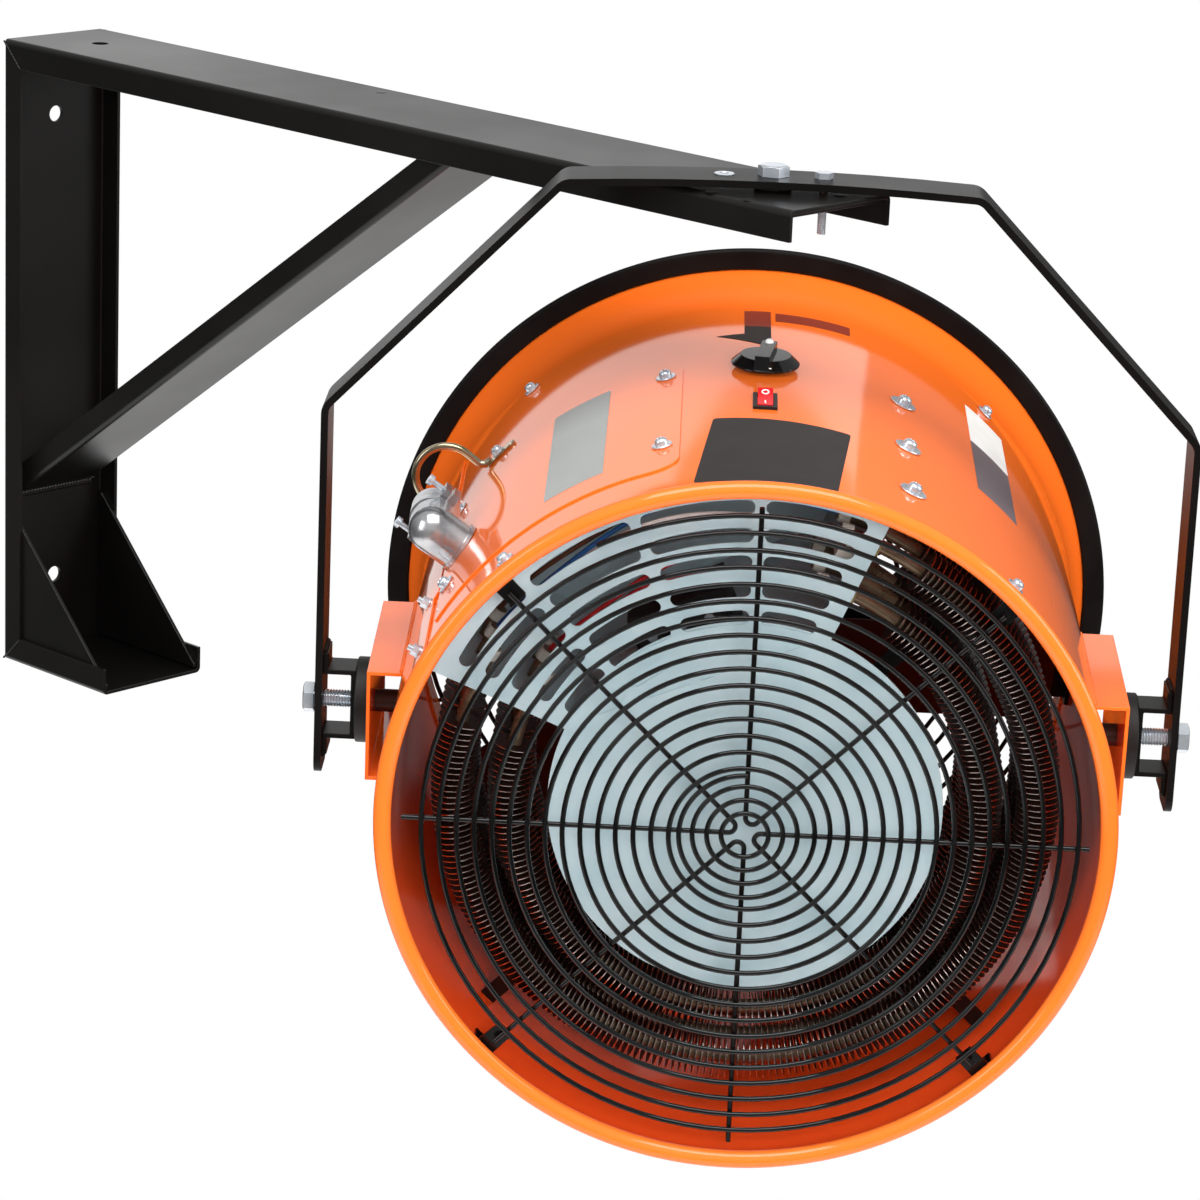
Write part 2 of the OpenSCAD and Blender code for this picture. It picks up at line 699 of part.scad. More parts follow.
// Flat sector between the box's two walls, from the chord out to the drum wall.
module box_outline(extra) {
    intersection() {
        circle(r = drum_in - wall_gap);
        rotate([0, 0, box_mid]) translate([chord_r, -drum_r]) square([drum_r, 2 * drum_r]);
        rotate([0, 0, box_mid]) polygon([
            [-extra, 0],
            [drum_r * 2, (drum_r * 2 + extra) * tan(box_span / 2)],
            [drum_r * 2, -(drum_r * 2 + extra) * tan(box_span / 2)]
        ]);
    }
}

// One row of slots in four columns, with round ends, kept off the radial webs.
module slot_row(r) {
    columns = 4;
    web = 7;
    end_web = 12;
    end_d = slot_w - 0.1;
    step = box_span / columns;
    for (i = [0:columns - 1]) {
        lo = (i == 0 ? end_web : web / 2) + slot_w / 2;
        hi = (i == columns - 1 ? end_web : web / 2) + slot_w / 2;
        a0 = box_a0 + i * step + asin(lo / r);
        a1 = box_a0 + (i + 1) * step - asin(hi / r);
        if (a1 > a0 + 1) {
            sector(r - slot_w / 2, r + slot_w / 2, a0, a1, 3 * sheet_t);
            for (a = [a0, a1]) rotate([0, 0, a]) translate([r, 0, 0])
                cylinder(d = end_d, h = 3 * sheet_t, $fn = 24);
        }
    }
}

module slotted_plate() color([0.75, 0.82, 0.86]) {
    edge = 5;
    rows = floor((drum_in - slot_w - slot_r0) / slot_pitch);
    at_drum() translate([0, 0, back_plate_a]) difference() {
        linear_extrude(sheet_t) box_outline(0);
        translate([0, 0, -sheet_t]) intersection() {
            for (i = [0:rows]) slot_row(slot_r0 + i * slot_pitch);
            rotate([0, 0, box_mid]) translate([chord_r + edge, -drum_r, 0])
                cube([drum_r, 2 * drum_r, 3 * sheet_t]);
        }
    }
}

// Box behind the slotted plate that the element ends and the wiring sit in.
module terminal_box() color([0.3, 0.27, 0.25]) {
    side_inset = sheet_t / sin(box_span / 2);
    at_drum() translate([0, 0, back_plate_a - box_depth]) {
        difference() {
            linear_extrude(box_depth - sheet_t) difference() {
                box_outline(0);
                intersection() {
                    circle(r = drum_in + over);
                    rotate([0, 0, box_mid]) translate([chord_r + sheet_t, -drum_r])
                        square([drum_r, 2 * drum_r]);
                    rotate([0, 0, box_mid]) polygon([
                        [side_inset, 0],
                        [drum_r * 2, (drum_r * 2 - side_inset) * tan(box_span / 2)],
                        [drum_r * 2, -(drum_r * 2 - side_inset) * tan(box_span / 2)]
                    ]);
                }
            }
            for (s = [-1, 1]) rotate([0, 0, box_mid + s * box_span / 2]) for (r = [inner_loop, outer_loop])
                for (a = rows_a) translate([r, 0, a - back_plate_a + box_depth]) rotate([90, 0, 0])
                    cylinder(d = tube_d + 4 * run_gap, h = 4 * sheet_t, center = true, $fn = 32);
        }
        linear_extrude(sheet_t) box_outline(0);
    }
}

row_a0 = plate_a - 27.2;
rows_a = [row_a0, row_a0 - row_pitch, row_a0 - 2 * row_pitch];
tail = 24;

// Element tubes of one loop radius, one in each row, from wall to wall of the box.
module element_tubes(r) {
    inside = asin(tail / r);
    for (a = rows_a) translate([0, 0, a])
        rotate([0, 0, box_a1 - inside]) rotate_extrude(angle = 360 - box_span + 2 * inside)
            translate([r, 0]) circle(d = tube_d, $fn = 24);
}

// Fins along one loop in each row, clear of the plain tube ends.
module element_fins(r) {
    plain = asin(34 / r);
    arc = 360 - box_span - 2 * plain;
    count = floor(arc / 360 * 2 * PI * r / fin_pitch);
    for (a = rows_a) for (i = [0:count]) rotate([0, 0, box_a1 + plain + arc * i / count])
        translate([r, -fin_t / 2, a]) rotate([-90, 0, 0]) ring(fin_d / 2, tube_d / 2 + 0.05, fin_t);
}

module inner_elements() color([0.55, 0.45, 0.33]) at_drum() element_tubes(inner_loop);

module outer_elements() color([0.55, 0.45, 0.33]) at_drum() element_tubes(outer_loop);

module inner_fins() color([0.13, 0.11, 0.1]) at_drum() element_fins(inner_loop);

module outer_fins() color([0.13, 0.11, 0.1]) at_drum() element_fins(outer_loop);

// Hexagon nuts that clamp the element ends to the walls of the box.
module element_nuts() color([0.7, 0.62, 0.4]) {
    nut_h = 5;
    at_drum() for (r = [inner_loop, outer_loop]) for (a = rows_a) for (s = [-1, 1])
        rotate([0, 0, box_mid + s * box_span / 2]) translate([r, s * 0.1, a]) rotate([-90 * s, 0, 0])
            difference() {
                hex(1.7 * tube_d, nut_h);
                translate([0, 0, -over]) cylinder(d = tube_d + 0.2, h = nut_h + 2 * over);
            }
}

// Three radial straps between the element rows carry the loops and the centre baffle.
module element_straps() color([0.1, 0.1, 0.1]) {
    strap_w = 12;
    strap_t = 2;
    post_r = baffle_r - 10;
    strap_a = row_a0 - row_pitch / 2;
    at_drum() for (th = [-135:90:45]) rotate([0, 0, th]) {
        intersection() {
            translate([post_r, -strap_w / 2, strap_a - strap_t / 2]) cube([drum_r, strap_w, strap_t]);
            cylinder(r = drum_in - weld_gap, h = front_a);
        }
        translate([post_r, -strap_w / 2, strap_a - strap_t / 2])
            cube([strap_t, strap_w, back_plate_a - sheet_t - strap_a + strap_t / 2]);
        translate([post_r - strap_w, -strap_w / 2, back_plate_a - sheet_t - strap_t])
            cube([strap_w + strap_t, strap_w, strap_t]);
    }
}

bracket_a = -fan_a - 34;
bracket_t = 3;
motor_screw_r = 0.7 * motor_r;
motor_screw_d = 5;

// Motor with a domed rear cover, standing on the bracket's rear face.
module motor() color([0.16, 0.16, 0.17]) {
    at_drum() translate([0, 0, bracket_a - bracket_t]) mirror([0, 0, 1]) {
        difference() {
            union() {
                cylinder(r = motor_r, h = motor_len - 16);
                translate([0, 0, motor_len - 16]) cylinder(r1 = motor_r, r2 = motor_r - 12, h = 12);
                translate([0, 0, motor_len - 4]) cylinder(r = motor_r - 18, h = 4);
            }
            translate([0, 0, -over]) cylinder(d = shaft_d + 2 * run_gap, h = motor_len / 2);
        }
    }
}

// Flat bar across the drum behind the fan, its ends turned along the wall.
module motor_bracket() color([0.1, 0.1, 0.1]) {
    bar = 62;
    tab = 22;
    end_a = asin((bar / 2 - 1) / drum_in);
    hub_r = motor_r - 4;
    at_drum() difference() {
        union() {
            translate([0, 0, bracket_a - bracket_t]) intersection() {
                translate([-drum_r, -bar / 2, 0]) cube([2 * drum_r, bar, bracket_t]);
                cylinder(r = drum_in - weld_gap - bracket_t / 2, h = bracket_t);
            }
            translate([0, 0, bracket_a - bracket_t]) cylinder(r = hub_r, h = bracket_t);
            for (th = [0, 180]) translate([0, 0, bracket_a - bracket_t])
                sector(drum_in - weld_gap - bracket_t, drum_in - weld_gap, th - end_a, th + end_a, tab);
        }
        translate([0, 0, bracket_a - 2 * bracket_t]) cylinder(d = 3 * shaft_d, h = 3 * bracket_t);
        for (k = [0:3]) rotate([0, 0, 45 + 90 * k]) translate([motor_screw_r, 0, bracket_a - 2 * bracket_t])
            cylinder(d = motor_screw_d + 4 * run_gap, h = 3 * bracket_t, $fn = 32);
    }
}

// Four screws through the bracket into the motor's face.
module motor_screws() color([0.75, 0.78, 0.82]) {
    at_drum() for (k = [0:3]) rotate([0, 0, 45 + 90 * k])
        translate([motor_screw_r, 0, bracket_a + weld_gap])
            pan_screw(motor_screw_d, 2 * motor_screw_d, 0.8 * motor_screw_d, bracket_t);
}

cover_a0 = 103;
cover_a1 = 150;
cover_back = knob_a + 5;
cover_front = plate_a - 2.2;
cover_corner = 22;

// Curved access cover over the terminal box, its front corner rounded.
module access_cover() color([0.96, 0.47, 0.2]) {
    r = drum_r + skin_gap;
    at_drum() difference() {
        translate([0, 0, -cover_back])
            sector(r, r + cover_t, cover_a0, cover_a1, cover_back + cover_front);
        on_drum(cover_a0, cover_front) translate([-10, -1, -cover_corner]) difference() {
            cube([20, cover_corner + 1, cover_corner + 1]);
            translate([-over, cover_corner + 1, 0]) rotate([0, 90, 0])
                cylinder(r = cover_corner, h = 20 + 2 * over);
        }
        on_drum(conn_th, conn_a) rotate([0, 90, 0]) translate([0, 0, -10]) cylinder(d = conn_bore, h = 20);
    }
}

// Screws with their heads on the drum wall or on a sheet that stands proud of it.
head_lift = 0.25;

module screw_at(th, a, lift = head_lift) {
    on_drum(th, a, drum_r + lift) rotate([0, 90, 0]) pan_screw(4, 8.5, 3.4, 0.2);
}

module cover_screws() color([0.75, 0.78, 0.82]) {
    at_drum() for (th = [cover_a0 + 2.8, cover_a1 - 2.2]) for (a = [-cover_back + 15.5, cover_front - 49])
        screw_at(th, a, skin_gap + cover_t + head_lift);
}

module shell_screws() color([0.75, 0.78, 0.82]) {
    row_th = box_a0 - 1.6;
    front_row = front_a - 18;
    rear_row = 14 - rear_a;
    at_drum() {
        for (a = [plate_a - 209, plate_a - 111, plate_a - 19]) screw_at(row_th, a);
        for (th = [46.9, 132.5, 227, 313]) for (a = [front_row, rear_row]) screw_at(th, a);
    }
}

seam_th = 154;

// Lapped seam of the drum wall, held by small bolts.
module seam_strip() color([0.96, 0.47, 0.2]) {
    r = drum_r + skin_gap;
    rear_end = 6 - rear_a;
    joint_a = plate_a - 66;
    front_end = bead_a - bead_d / 2;
    at_drum() {
        translate([0, 0, rear_end])
            sector(r, r + drum_t, seam_th - 3.4, seam_th + 2, joint_a - rear_end);
        translate([0, 0, joint_a + 2])
            sector(r, r + drum_t, seam_th - 2, seam_th + 2, front_end - joint_a - 2);
    }
}

module seam_bolts() color([0.75, 0.78, 0.82]) {
    at_drum() for (a = [50 - rear_a, 140 - rear_a, plate_a - 73.7, plate_a + 16.8])
        on_drum(seam_th, a, drum_r + 2 * skin_gap + drum_t) rotate([0, 90, 0]) {
        cylinder(d = 9, h = 1, $fn = 32);
        translate([0, 0, 1]) hex(7, 4);
        translate([0, 0, 5]) cylinder(d = 4, h = 3, $fn = 24);
    }
}

conn_th = 145.5;
conn_a = 50;
conn_h = 24;
conn_len = 38;

// Die-cast elbow connector: a round neck on the wall, turned to the rear, with a bore for the cable.
module cable_connector() color([0.72, 0.73, 0.75]) {
    seat = cover_t + 2 * skin_gap;
    at_drum() on_drum(conn_th, conn_a) difference() {
        union() {
            translate([seat, 0, 0]) rotate([0, 90, 0]) cylinder(d = conn_d, h = conn_h - seat);
            translate([seat, 0, 0]) rotate([0, 90, 0]) cylinder(d = conn_d + 3, h = 2.5);
            translate([conn_h, 0, 0]) sphere(d = conn_d, $fn = 64);
            translate([conn_h, 0, -conn_len]) cylinder(d = conn_d, h = conn_len);
            translate([conn_h - 5, -conn_d / 2 - 6, -conn_len + 4]) cube([5, conn_d + 12, 14]);
        }
        translate([conn_h, 0, -conn_len - over]) cylinder(d = conn_bore, h = conn_len + over);
        translate([seat - over, 0, 0]) rotate([0, 90, 0]) cylinder(d = conn_bore, h = conn_h);
        translate([conn_h, -conn_d, -conn_len - over]) cube([conn_d, 2 * conn_d, 22 + over]);
    }
}

// Saddle that two screws draw down on the cable.
module connector_clamp() color([0.72, 0.73, 0.75]) {
    lift = 2;
    at_drum() on_drum(conn_th, conn_a) translate([conn_h + lift, 0, -conn_len]) difference() {
        union() {
            cylinder(d = conn_d - 2, h = 21);
            translate([0, -conn_d / 2 - 6, 4]) cube([5, conn_d + 12, 14]);
        }
        translate([0, 0, -over]) cylinder(d = conn_bore, h = 21 + 2 * over);
        translate([-conn_d, -conn_d, -over]) cube([conn_d, 2 * conn_d, 21 + 2 * over]);
    }
}

module connector_screws() color([0.8, 0.8, 0.82]) {
    at_drum() on_drum(conn_th, conn_a) for (s = [-1, 1])
        translate([conn_h + 16, s * (conn_d / 2 + 2.5), -conn_len + 11]) rotate([0, 90, 0]) {
            cylinder(d = 7.5, h = 3.5, $fn = 32);
            translate([0, 0, -8.9]) cylinder(d = 4, h = 8.9, $fn = 24);
        }
}

hook_th = 141.8;
hook_a = -85;
hook_tab_t = 2;

// Bent rod on one screw, a loop to hang the supply cord on, in a plane across the drum.
module cord_hook() color([0.8, 0.66, 0.32]) {
    rise = 18;
    loop_r = 22.3;
    foot_r = 5;
    tab_len = 26;
    tab_w = 10;
    seat_r = drum_r + skin_gap;
    r = hook_d / 2;
    at_drum() {
        translate([0, 0, hook_a - tab_w / 2])
            sector(seat_r, seat_r + hook_tab_t, hook_th - tab_len * 180 / PI / drum_r, hook_th + 0.8, tab_w);
        on_drum(hook_th, hook_a, seat_r) {
            translate([1, 0, 0]) rotate([0, 90, 0]) cylinder(r = r, h = rise - 1);
            translate([rise, loop_r, 0]) rotate([0, 0, -90]) rotate_extrude(angle = 180)
                translate([loop_r, 0]) circle(r = r);
            translate([rise - 10, 2 * loop_r, 0]) rotate([0, 90, 0]) cylinder(r = r, h = 10);
            translate([rise - 10, 2 * loop_r, 0]) sphere(r = r);
        }
    }
}

module hook_screw() color([0.75, 0.78, 0.82]) {
    at_drum() screw_at(hook_th - 3.6, hook_a, skin_gap + hook_tab_t + head_lift);
}

knob_shaft = 6;

// Thermostat under the knob, on the inside of the drum wall.
module thermostat_body() color([0.85, 0.83, 0.78]) {
    at_drum() on_drum(knob_th, -knob_a, drum_in) difference() {
        union() {
            translate([-32.8, -22, -22]) cube([30, 44, 44]);
            translate([-3, 0, 0]) rotate([0, 90, 0]) cylinder(d = 14, h = 2.8);
        }
        translate([-14, 0, 0]) rotate([0, 90, 0]) cylinder(d = knob_shaft + 2 * run_gap, h = 20);
    }
}

// Contactor on the flat wall of the box, its terminals towards the slots.
module contactor() color([0.14, 0.14, 0.15]) {
    base_a = plate_a - 92;
    rise = inner_loop - tube_d - chord_r - 12;
    width = 68;
    depth = 52;
    at_drum() rotate([0, 0, box_mid]) translate([chord_r + sheet_t, -width / 2, base_a]) {
        cube([rise, width, depth]);
        translate([rise / 6, width / 16, depth]) cube([rise * 2 / 3, width * 7 / 8, depth / 4]);
    }
}

// Round limit switch on the side wall of the box, between the ends of the elements.
module limit_switch() color([0.78, 0.76, 0.7]) {
    middle_r = (inner_loop + outer_loop) / 2;
    at_drum() rotate([0, 0, box_a0]) translate([middle_r, sheet_t, row_a0 - row_pitch / 2])
        rotate([-90, 0, 0]) {
        cylinder(d = 20, h = 12);
        translate([-3, -10, 12]) cube([6, 20, 4]);
    }
}

// Insulated leads inside the box, each between the two ends of an element.
module wires() color([0.5, 0.08, 0.08]) {
    lead_d = 3.4;
    at_drum() for (w = [[inner_loop, 0], [outer_loop, 0], [outer_loop, 1], [outer_loop, 2]]) {
        inside = asin(tail / w[0]) + 0.1;
        translate([0, 0, rows_a[w[1]]]) wire_arc(w[0], lead_d, box_a0 + inside, box_a1 - inside);
    }
}

bezel_th = 89.6;
bezel_w = 16.5;
bezel_l = 32;
bezel_lip = 1.6;
bezel_neck = 16;
rocker_w = 10.4;
rocker_l = 23;
rocker_tilt = 12;
rocker_pin = 0.5;
side_gap = 0.4;
pin_d = 2;
pin_len = rocker_w + 2 * side_gap + 1;

// Black body of the rocker switch, let into the drum wall, with a well for the rocker.
module rocker_bezel() color([0.08, 0.08, 0.08]) {
    well = 5;
    end_gap = 1.2;
    at_drum() on_drum(bezel_th, rocker_a) difference() {
        union() {
            translate([skin_gap, -bezel_w / 2, -bezel_l / 2]) cube([2, bezel_w, bezel_l]);
            translate([-bezel_neck, -bezel_w / 2 + bezel_lip, -bezel_l / 2 + bezel_lip])
                cube([bezel_neck + 1, bezel_w - 2 * bezel_lip, bezel_l - 2 * bezel_lip]);
        }
        translate([-well, -rocker_w / 2 - side_gap, -rocker_l / 2 - end_gap])
            cube([2 * well, rocker_w + 2 * side_gap, rocker_l + 2 * end_gap]);
        translate([rocker_pin, 0, 0]) rotate([90, 0, 0])
            cylinder(d = pin_d + 2 * run_gap, h = pin_len + side_gap, center = true, $fn = 32);
    }
}

// Rocker, its far end raised as stored. It turns on a pin whose ends sit in the switch body.
module rocker() color([0.8, 0.06, 0.08]) {
    end = rocker_l / 2;
    floor_x = -0.8;
    at_drum() on_drum(bezel_th, rocker_a, drum_r + rocker_pin) rotate([0, -rocker_tilt, 0]) {
        rotate([90, 0, 0]) linear_extrude(rocker_w, center = true)
            polygon([[floor_x, -end], [4.6, -end], [3, 0], [4.6, end], [floor_x, end]]);
        rotate([90, 0, 0]) cylinder(d = pin_d, h = pin_len, center = true, $fn = 32);
    }
}

// Axial fan: a hub with twisted flat blades whose leading edges face the rear.
module fan() color([0.55, 0.57, 0.6]) {
    hub_r = 34;
    hub_h = 34;
    chord = 92;
    blade_t = 1.6;
    pitch = 24;
    at_drum() translate([0, 0, -fan_a]) difference() {
        union() {
            translate([0, 0, -hub_h / 2]) cylinder(r = hub_r, h = hub_h);
            for (k = [0:blades - 1]) rotate([0, 0, 360 * k / blades]) intersection() {
                translate([hub_r - 4, 0, 0]) rotate([pitch, 0, 0]) translate([0, -chord / 2, -blade_t / 2])
                    cube([fan_r, chord, blade_t]);
                translate([0, 0, -chord]) cylinder(r = fan_r, h = 2 * chord);
            }
        }
        translate([0, 0, -hub_h]) cylinder(d = shaft_d + 2 * run_gap, h = 2 * hub_h);
    }
}

module motor_shaft() color([0.8, 0.8, 0.82]) {
    at_drum() translate([0, 0, bracket_a - bracket_t - motor_len / 2 + 6])
        cylinder(d = shaft_d, h = motor_len / 2 - 6 + bracket_t - bracket_a - fan_a + 22, $fn = 48);
}

// Skirted knob with a raised pointer bar.
module knob() color([0.05, 0.05, 0.05]) {
    base = 2.6;
    skirt = 7;
    bar = 10.4;
    rise = 11;
    at_drum() on_drum(knob_th, -knob_a, drum_r + base) rotate([0, 90, 0]) {
        cylinder(d = knob_d, h = 1.2);
        translate([0, 0, 1.2]) cylinder(d1 = knob_d, d2 = knob_d * 0.74, h = skirt - 1.2);
        rotate([0, 0, -8]) intersection() {
            translate([-knob_d / 2, -bar / 2, 0]) cube([knob_d, bar, rise]);
            cylinder(d1 = knob_d, d2 = knob_d * 0.86, h = rise);
        }
        translate([0, 0, -base - drum_t - 10]) cylinder(d = knob_shaft, h = base + drum_t + 10, $fn = 32);
    }
}

arm_channel();
wall_channel();
foot_channel();
brace_channel();
gusset_left();
gusset_right();
nut_plate();
swivel_bolt();
swivel_washer();
swivel_nut();
yoke_bar();
lock_bolt();
spacer_left();
spacer_right();
friction_disc_left();
friction_disc_right();
pivot_bolt_left();
pivot_bolt_right();
drum_shell();
rear_bell();
rear_trim_ring();
trunnion_left();
trunnion_right();
sleeve_left();
sleeve_right();
front_guard_spiral();
front_guard_spokes();
guard_clips();
rear_guard();
centre_baffle();
slotted_plate();
terminal_box();
inner_elements();
outer_elements();
inner_fins();
outer_fins();
element_nuts();
element_straps();
motor();
motor_bracket();
motor_screws();
access_cover();
cover_screws();
shell_screws();
seam_strip();
seam_bolts();
cable_connector();
connector_clamp();
connector_screws();
cord_hook();
hook_screw();
thermostat_body();
contactor();
limit_switch();
wires();
rocker_bezel();
fan();
motor_shaft();
knob();
rocker();
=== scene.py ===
import bpy
import bmesh
import json
from math import asin, atan2, cos, degrees, hypot, pi, radians, sin, sqrt
from mathutils import Matrix, Vector


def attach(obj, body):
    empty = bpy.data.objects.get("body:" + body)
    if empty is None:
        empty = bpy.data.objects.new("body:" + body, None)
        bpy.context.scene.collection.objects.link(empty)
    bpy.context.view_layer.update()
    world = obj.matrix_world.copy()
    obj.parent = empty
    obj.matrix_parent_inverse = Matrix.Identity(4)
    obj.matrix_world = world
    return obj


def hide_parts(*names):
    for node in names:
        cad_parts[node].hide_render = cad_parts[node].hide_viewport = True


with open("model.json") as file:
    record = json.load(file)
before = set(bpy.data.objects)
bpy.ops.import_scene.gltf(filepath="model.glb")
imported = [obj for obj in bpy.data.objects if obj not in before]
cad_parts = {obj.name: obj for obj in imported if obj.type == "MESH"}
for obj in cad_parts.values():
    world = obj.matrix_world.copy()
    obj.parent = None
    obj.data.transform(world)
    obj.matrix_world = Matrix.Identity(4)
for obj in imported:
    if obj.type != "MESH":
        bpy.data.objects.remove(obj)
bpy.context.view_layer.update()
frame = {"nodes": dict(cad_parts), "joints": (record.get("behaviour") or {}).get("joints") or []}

# Camera. It stands where the photograph was taken from: to the left of the heater, a little
# above the arm, and far enough away for a long lens.
scene = bpy.context.scene
lens = bpy.data.cameras.new("camera")
lens.sensor_width = 36
lens.lens = 127.22
camera = bpy.data.objects.new("camera", lens)
eye = (-2.1200, -2.6200, 0.7884)
pan, fall, roll = radians(46.658), radians(16.388), radians(2.407)
ahead = Vector((sin(pan) * cos(fall), cos(pan) * cos(fall), -sin(fall)))
level = Vector((cos(pan), -sin(pan), 0))
upright = level.cross(ahead)
across = level * cos(roll) + upright * sin(roll)
upward = upright * cos(roll) - level * sin(roll)
camera.matrix_world = Matrix.Translation(eye) @ Matrix((across, upward, -ahead)).transposed().to_4x4()
scene.collection.objects.link(camera)
scene.camera = camera
scene.view_settings.view_transform = "Standard"

# Light. Plain soft studio light: one wide lamp overhead, two large ones at the sides, one in front
# that reaches into the drum, and behind the heater a white card that the drum mirrors. Glossy
# surfaces see a sky of their own, bright overhead and underfoot and dark between.
world = bpy.data.worlds.new("studio")
world.use_nodes = True
scene.world = world
sky = world.node_tree
sky.nodes.clear()


def add_node(tree, kind, inputs=None, **settings):
    """A new node in a tree. Each input is given a value or linked to another node's output."""
    made = tree.nodes.new(kind)
    for label, value in settings.items():
        setattr(made, label, value)
    for label, value in (inputs or {}).items():
        if isinstance(value, bpy.types.NodeSocket):
            tree.links.new(value, made.inputs[label])
        else:
            made.inputs[label].default_value = value
    return made


def maths(tree, operation, *values):
    """The result of one sum, on numbers or on other nodes' outputs."""
    return add_node(tree, "ShaderNodeMath", dict(enumerate(values)), operation=operation).outputs[0]


def stretched(tree, value, low, high, at_low, at_high):
    """A value carried over from one range to another, and held at both ends."""
    ends = {"Value": value, "From Min": low, "From Max": high, "To Min": at_low, "To Max": at_high}
    return add_node(tree, "ShaderNodeMapRange", ends).outputs["Result"]


def mixed(tree, share, one, two):
    """One shader where the share is 0, the other where it is 1."""
    return add_node(tree, "ShaderNodeMixShader", {0: share, 1: one, 2: two}).outputs[0]


def sky_of(colour, strength):
    """A sky of one colour, with its strength as a number or from another node."""
    look = {"Color": (*colour, 1), "Strength": strength}
    return add_node(sky, "ShaderNodeBackground", look).outputs[0]


ray = add_node(sky, "ShaderNodeLightPath").outputs
way_up = add_node(sky, "ShaderNodeTexCoord").outputs["Generated"]
height = add_node(sky, "ShaderNodeSeparateXYZ", {0: way_up}).outputs["Z"]
overhead = stretched(sky, height, -0.1, 0.8, 0.10, 0.55)
underfoot = stretched(sky, height, -0.6, -0.45, 1.3, 0.0)
mirror_sky = sky_of((1.0, 0.99, 0.98), maths(sky, "MAXIMUM", overhead, underfoot))
fill_sky = sky_of((1.0, 0.985, 0.965), 0.50)
seen_sky = sky_of((1, 1, 1), 1.0)
unseen_sky = mixed(sky, ray["Is Glossy Ray"], fill_sky, mirror_sky)
seen = maths(sky, "MAXIMUM", ray["Is Camera Ray"], ray["Is Transmission Ray"])
add_node(sky, "ShaderNodeOutputWorld", {"Surface": mixed(sky, seen, unseen_sky, seen_sky)})


def lamp(name, place, aim, size, watts, mirrored=True):
    """A flat lamp with its sides in metres, turned towards its aim."""
    light = bpy.data.lights.new(name, "AREA")
    light.shape = "RECTANGLE"
    light.size, light.size_y = size
    light.energy = watts
    obj = bpy.data.objects.new(name, light)
    obj.location = place
    obj.rotation_euler = (Vector(aim) - Vector(place)).to_track_quat("-Z", "Y").to_euler()
    obj.visible_glossy = mirrored
    scene.collection.objects.link(obj)


middle = (0, -0.55, 0)
lamp("overhead", (-0.9, -1.5, 2.7), middle, (2.4, 2.0), 80)
lamp("left_side", (-3.2, 0.2, 1.2), middle, (1.2, 2.1), 24)
lamp("right_side", (1.9, -3.2, 1.1), middle, (1.8, 2.2), 44)
lamp("front", (-1.75, -2.75, 0.75), (0, -0.7, -0.3), (1.0, 0.8), 62, mirrored=False)
lamp("white_card", (1.35, 0.965, 0.2), (0, -0.76, 0.1), (1.86, 1.5), 7.4)

# Floor. A plain pale surface far enough below the heater that its shadow falls out of view. It
# isn't mirrored itself: glossy surfaces see the sky's lower half in its place.
FLOOR_Z, FLOOR_HALF = -1.3, 30
floor_mesh = bpy.data.meshes.new("floor")
corners = [(x * FLOOR_HALF, y * FLOOR_HALF, FLOOR_Z) for x, y in ((-1, -1), (1, -1), (1, 1), (-1, 1))]
floor_mesh.from_pydata(corners, [], [(0, 1, 2, 3)])
floor = bpy.data.objects.new("floor", floor_mesh)
scene.collection.objects.link(floor)
pale = bpy.data.materials.new("pale_floor")
pale.use_nodes = True
pale_tree = pale.node_tree
shaded = pale_tree.nodes["Principled BSDF"]
shaded.inputs["Base Color"].default_value = (0.86, 0.86, 0.85, 1)
shaded.inputs["Roughness"].default_value = 0.7
white = add_node(pale_tree, "ShaderNodeEmission", {"Strength": 1.0}).outputs[0]
by_camera = add_node(pale_tree, "ShaderNodeLightPath").outputs["Is Camera Ray"]
pale_tree.links.new(mixed(pale_tree, by_camera, shaded.outputs[0], white),
                    pale_tree.nodes["Material Output"].inputs["Surface"])
floor_mesh.materials.append(pale)
floor.visible_glossy = False

# Wall bracket. Pressed steel channels, mitred at the corners and welded, with a smaller channel
# as a brace and two gussets in the foot. All of it has one coat of satin black powder paint. The
# brace isn't mirrored in the drum, so the card's reflection there stays whole.
MM = 0.001
GRAIN_DEPTH, WAVE_DEPTH, WAVES_PER_M = 0.0004, 0.004, 9
MERGE, STILL_FLAT = 2e-6, 0.8


def clouds(tree, scale, detail):
    """Soft noise through a piece, most of it near one half."""
    where = add_node(tree, "ShaderNodeTexCoord").outputs["Object"]
    noise = {"Vector": where, "Scale": scale, "Detail": detail}
    return add_node(tree, "ShaderNodeTexNoise", noise).outputs["Fac"]


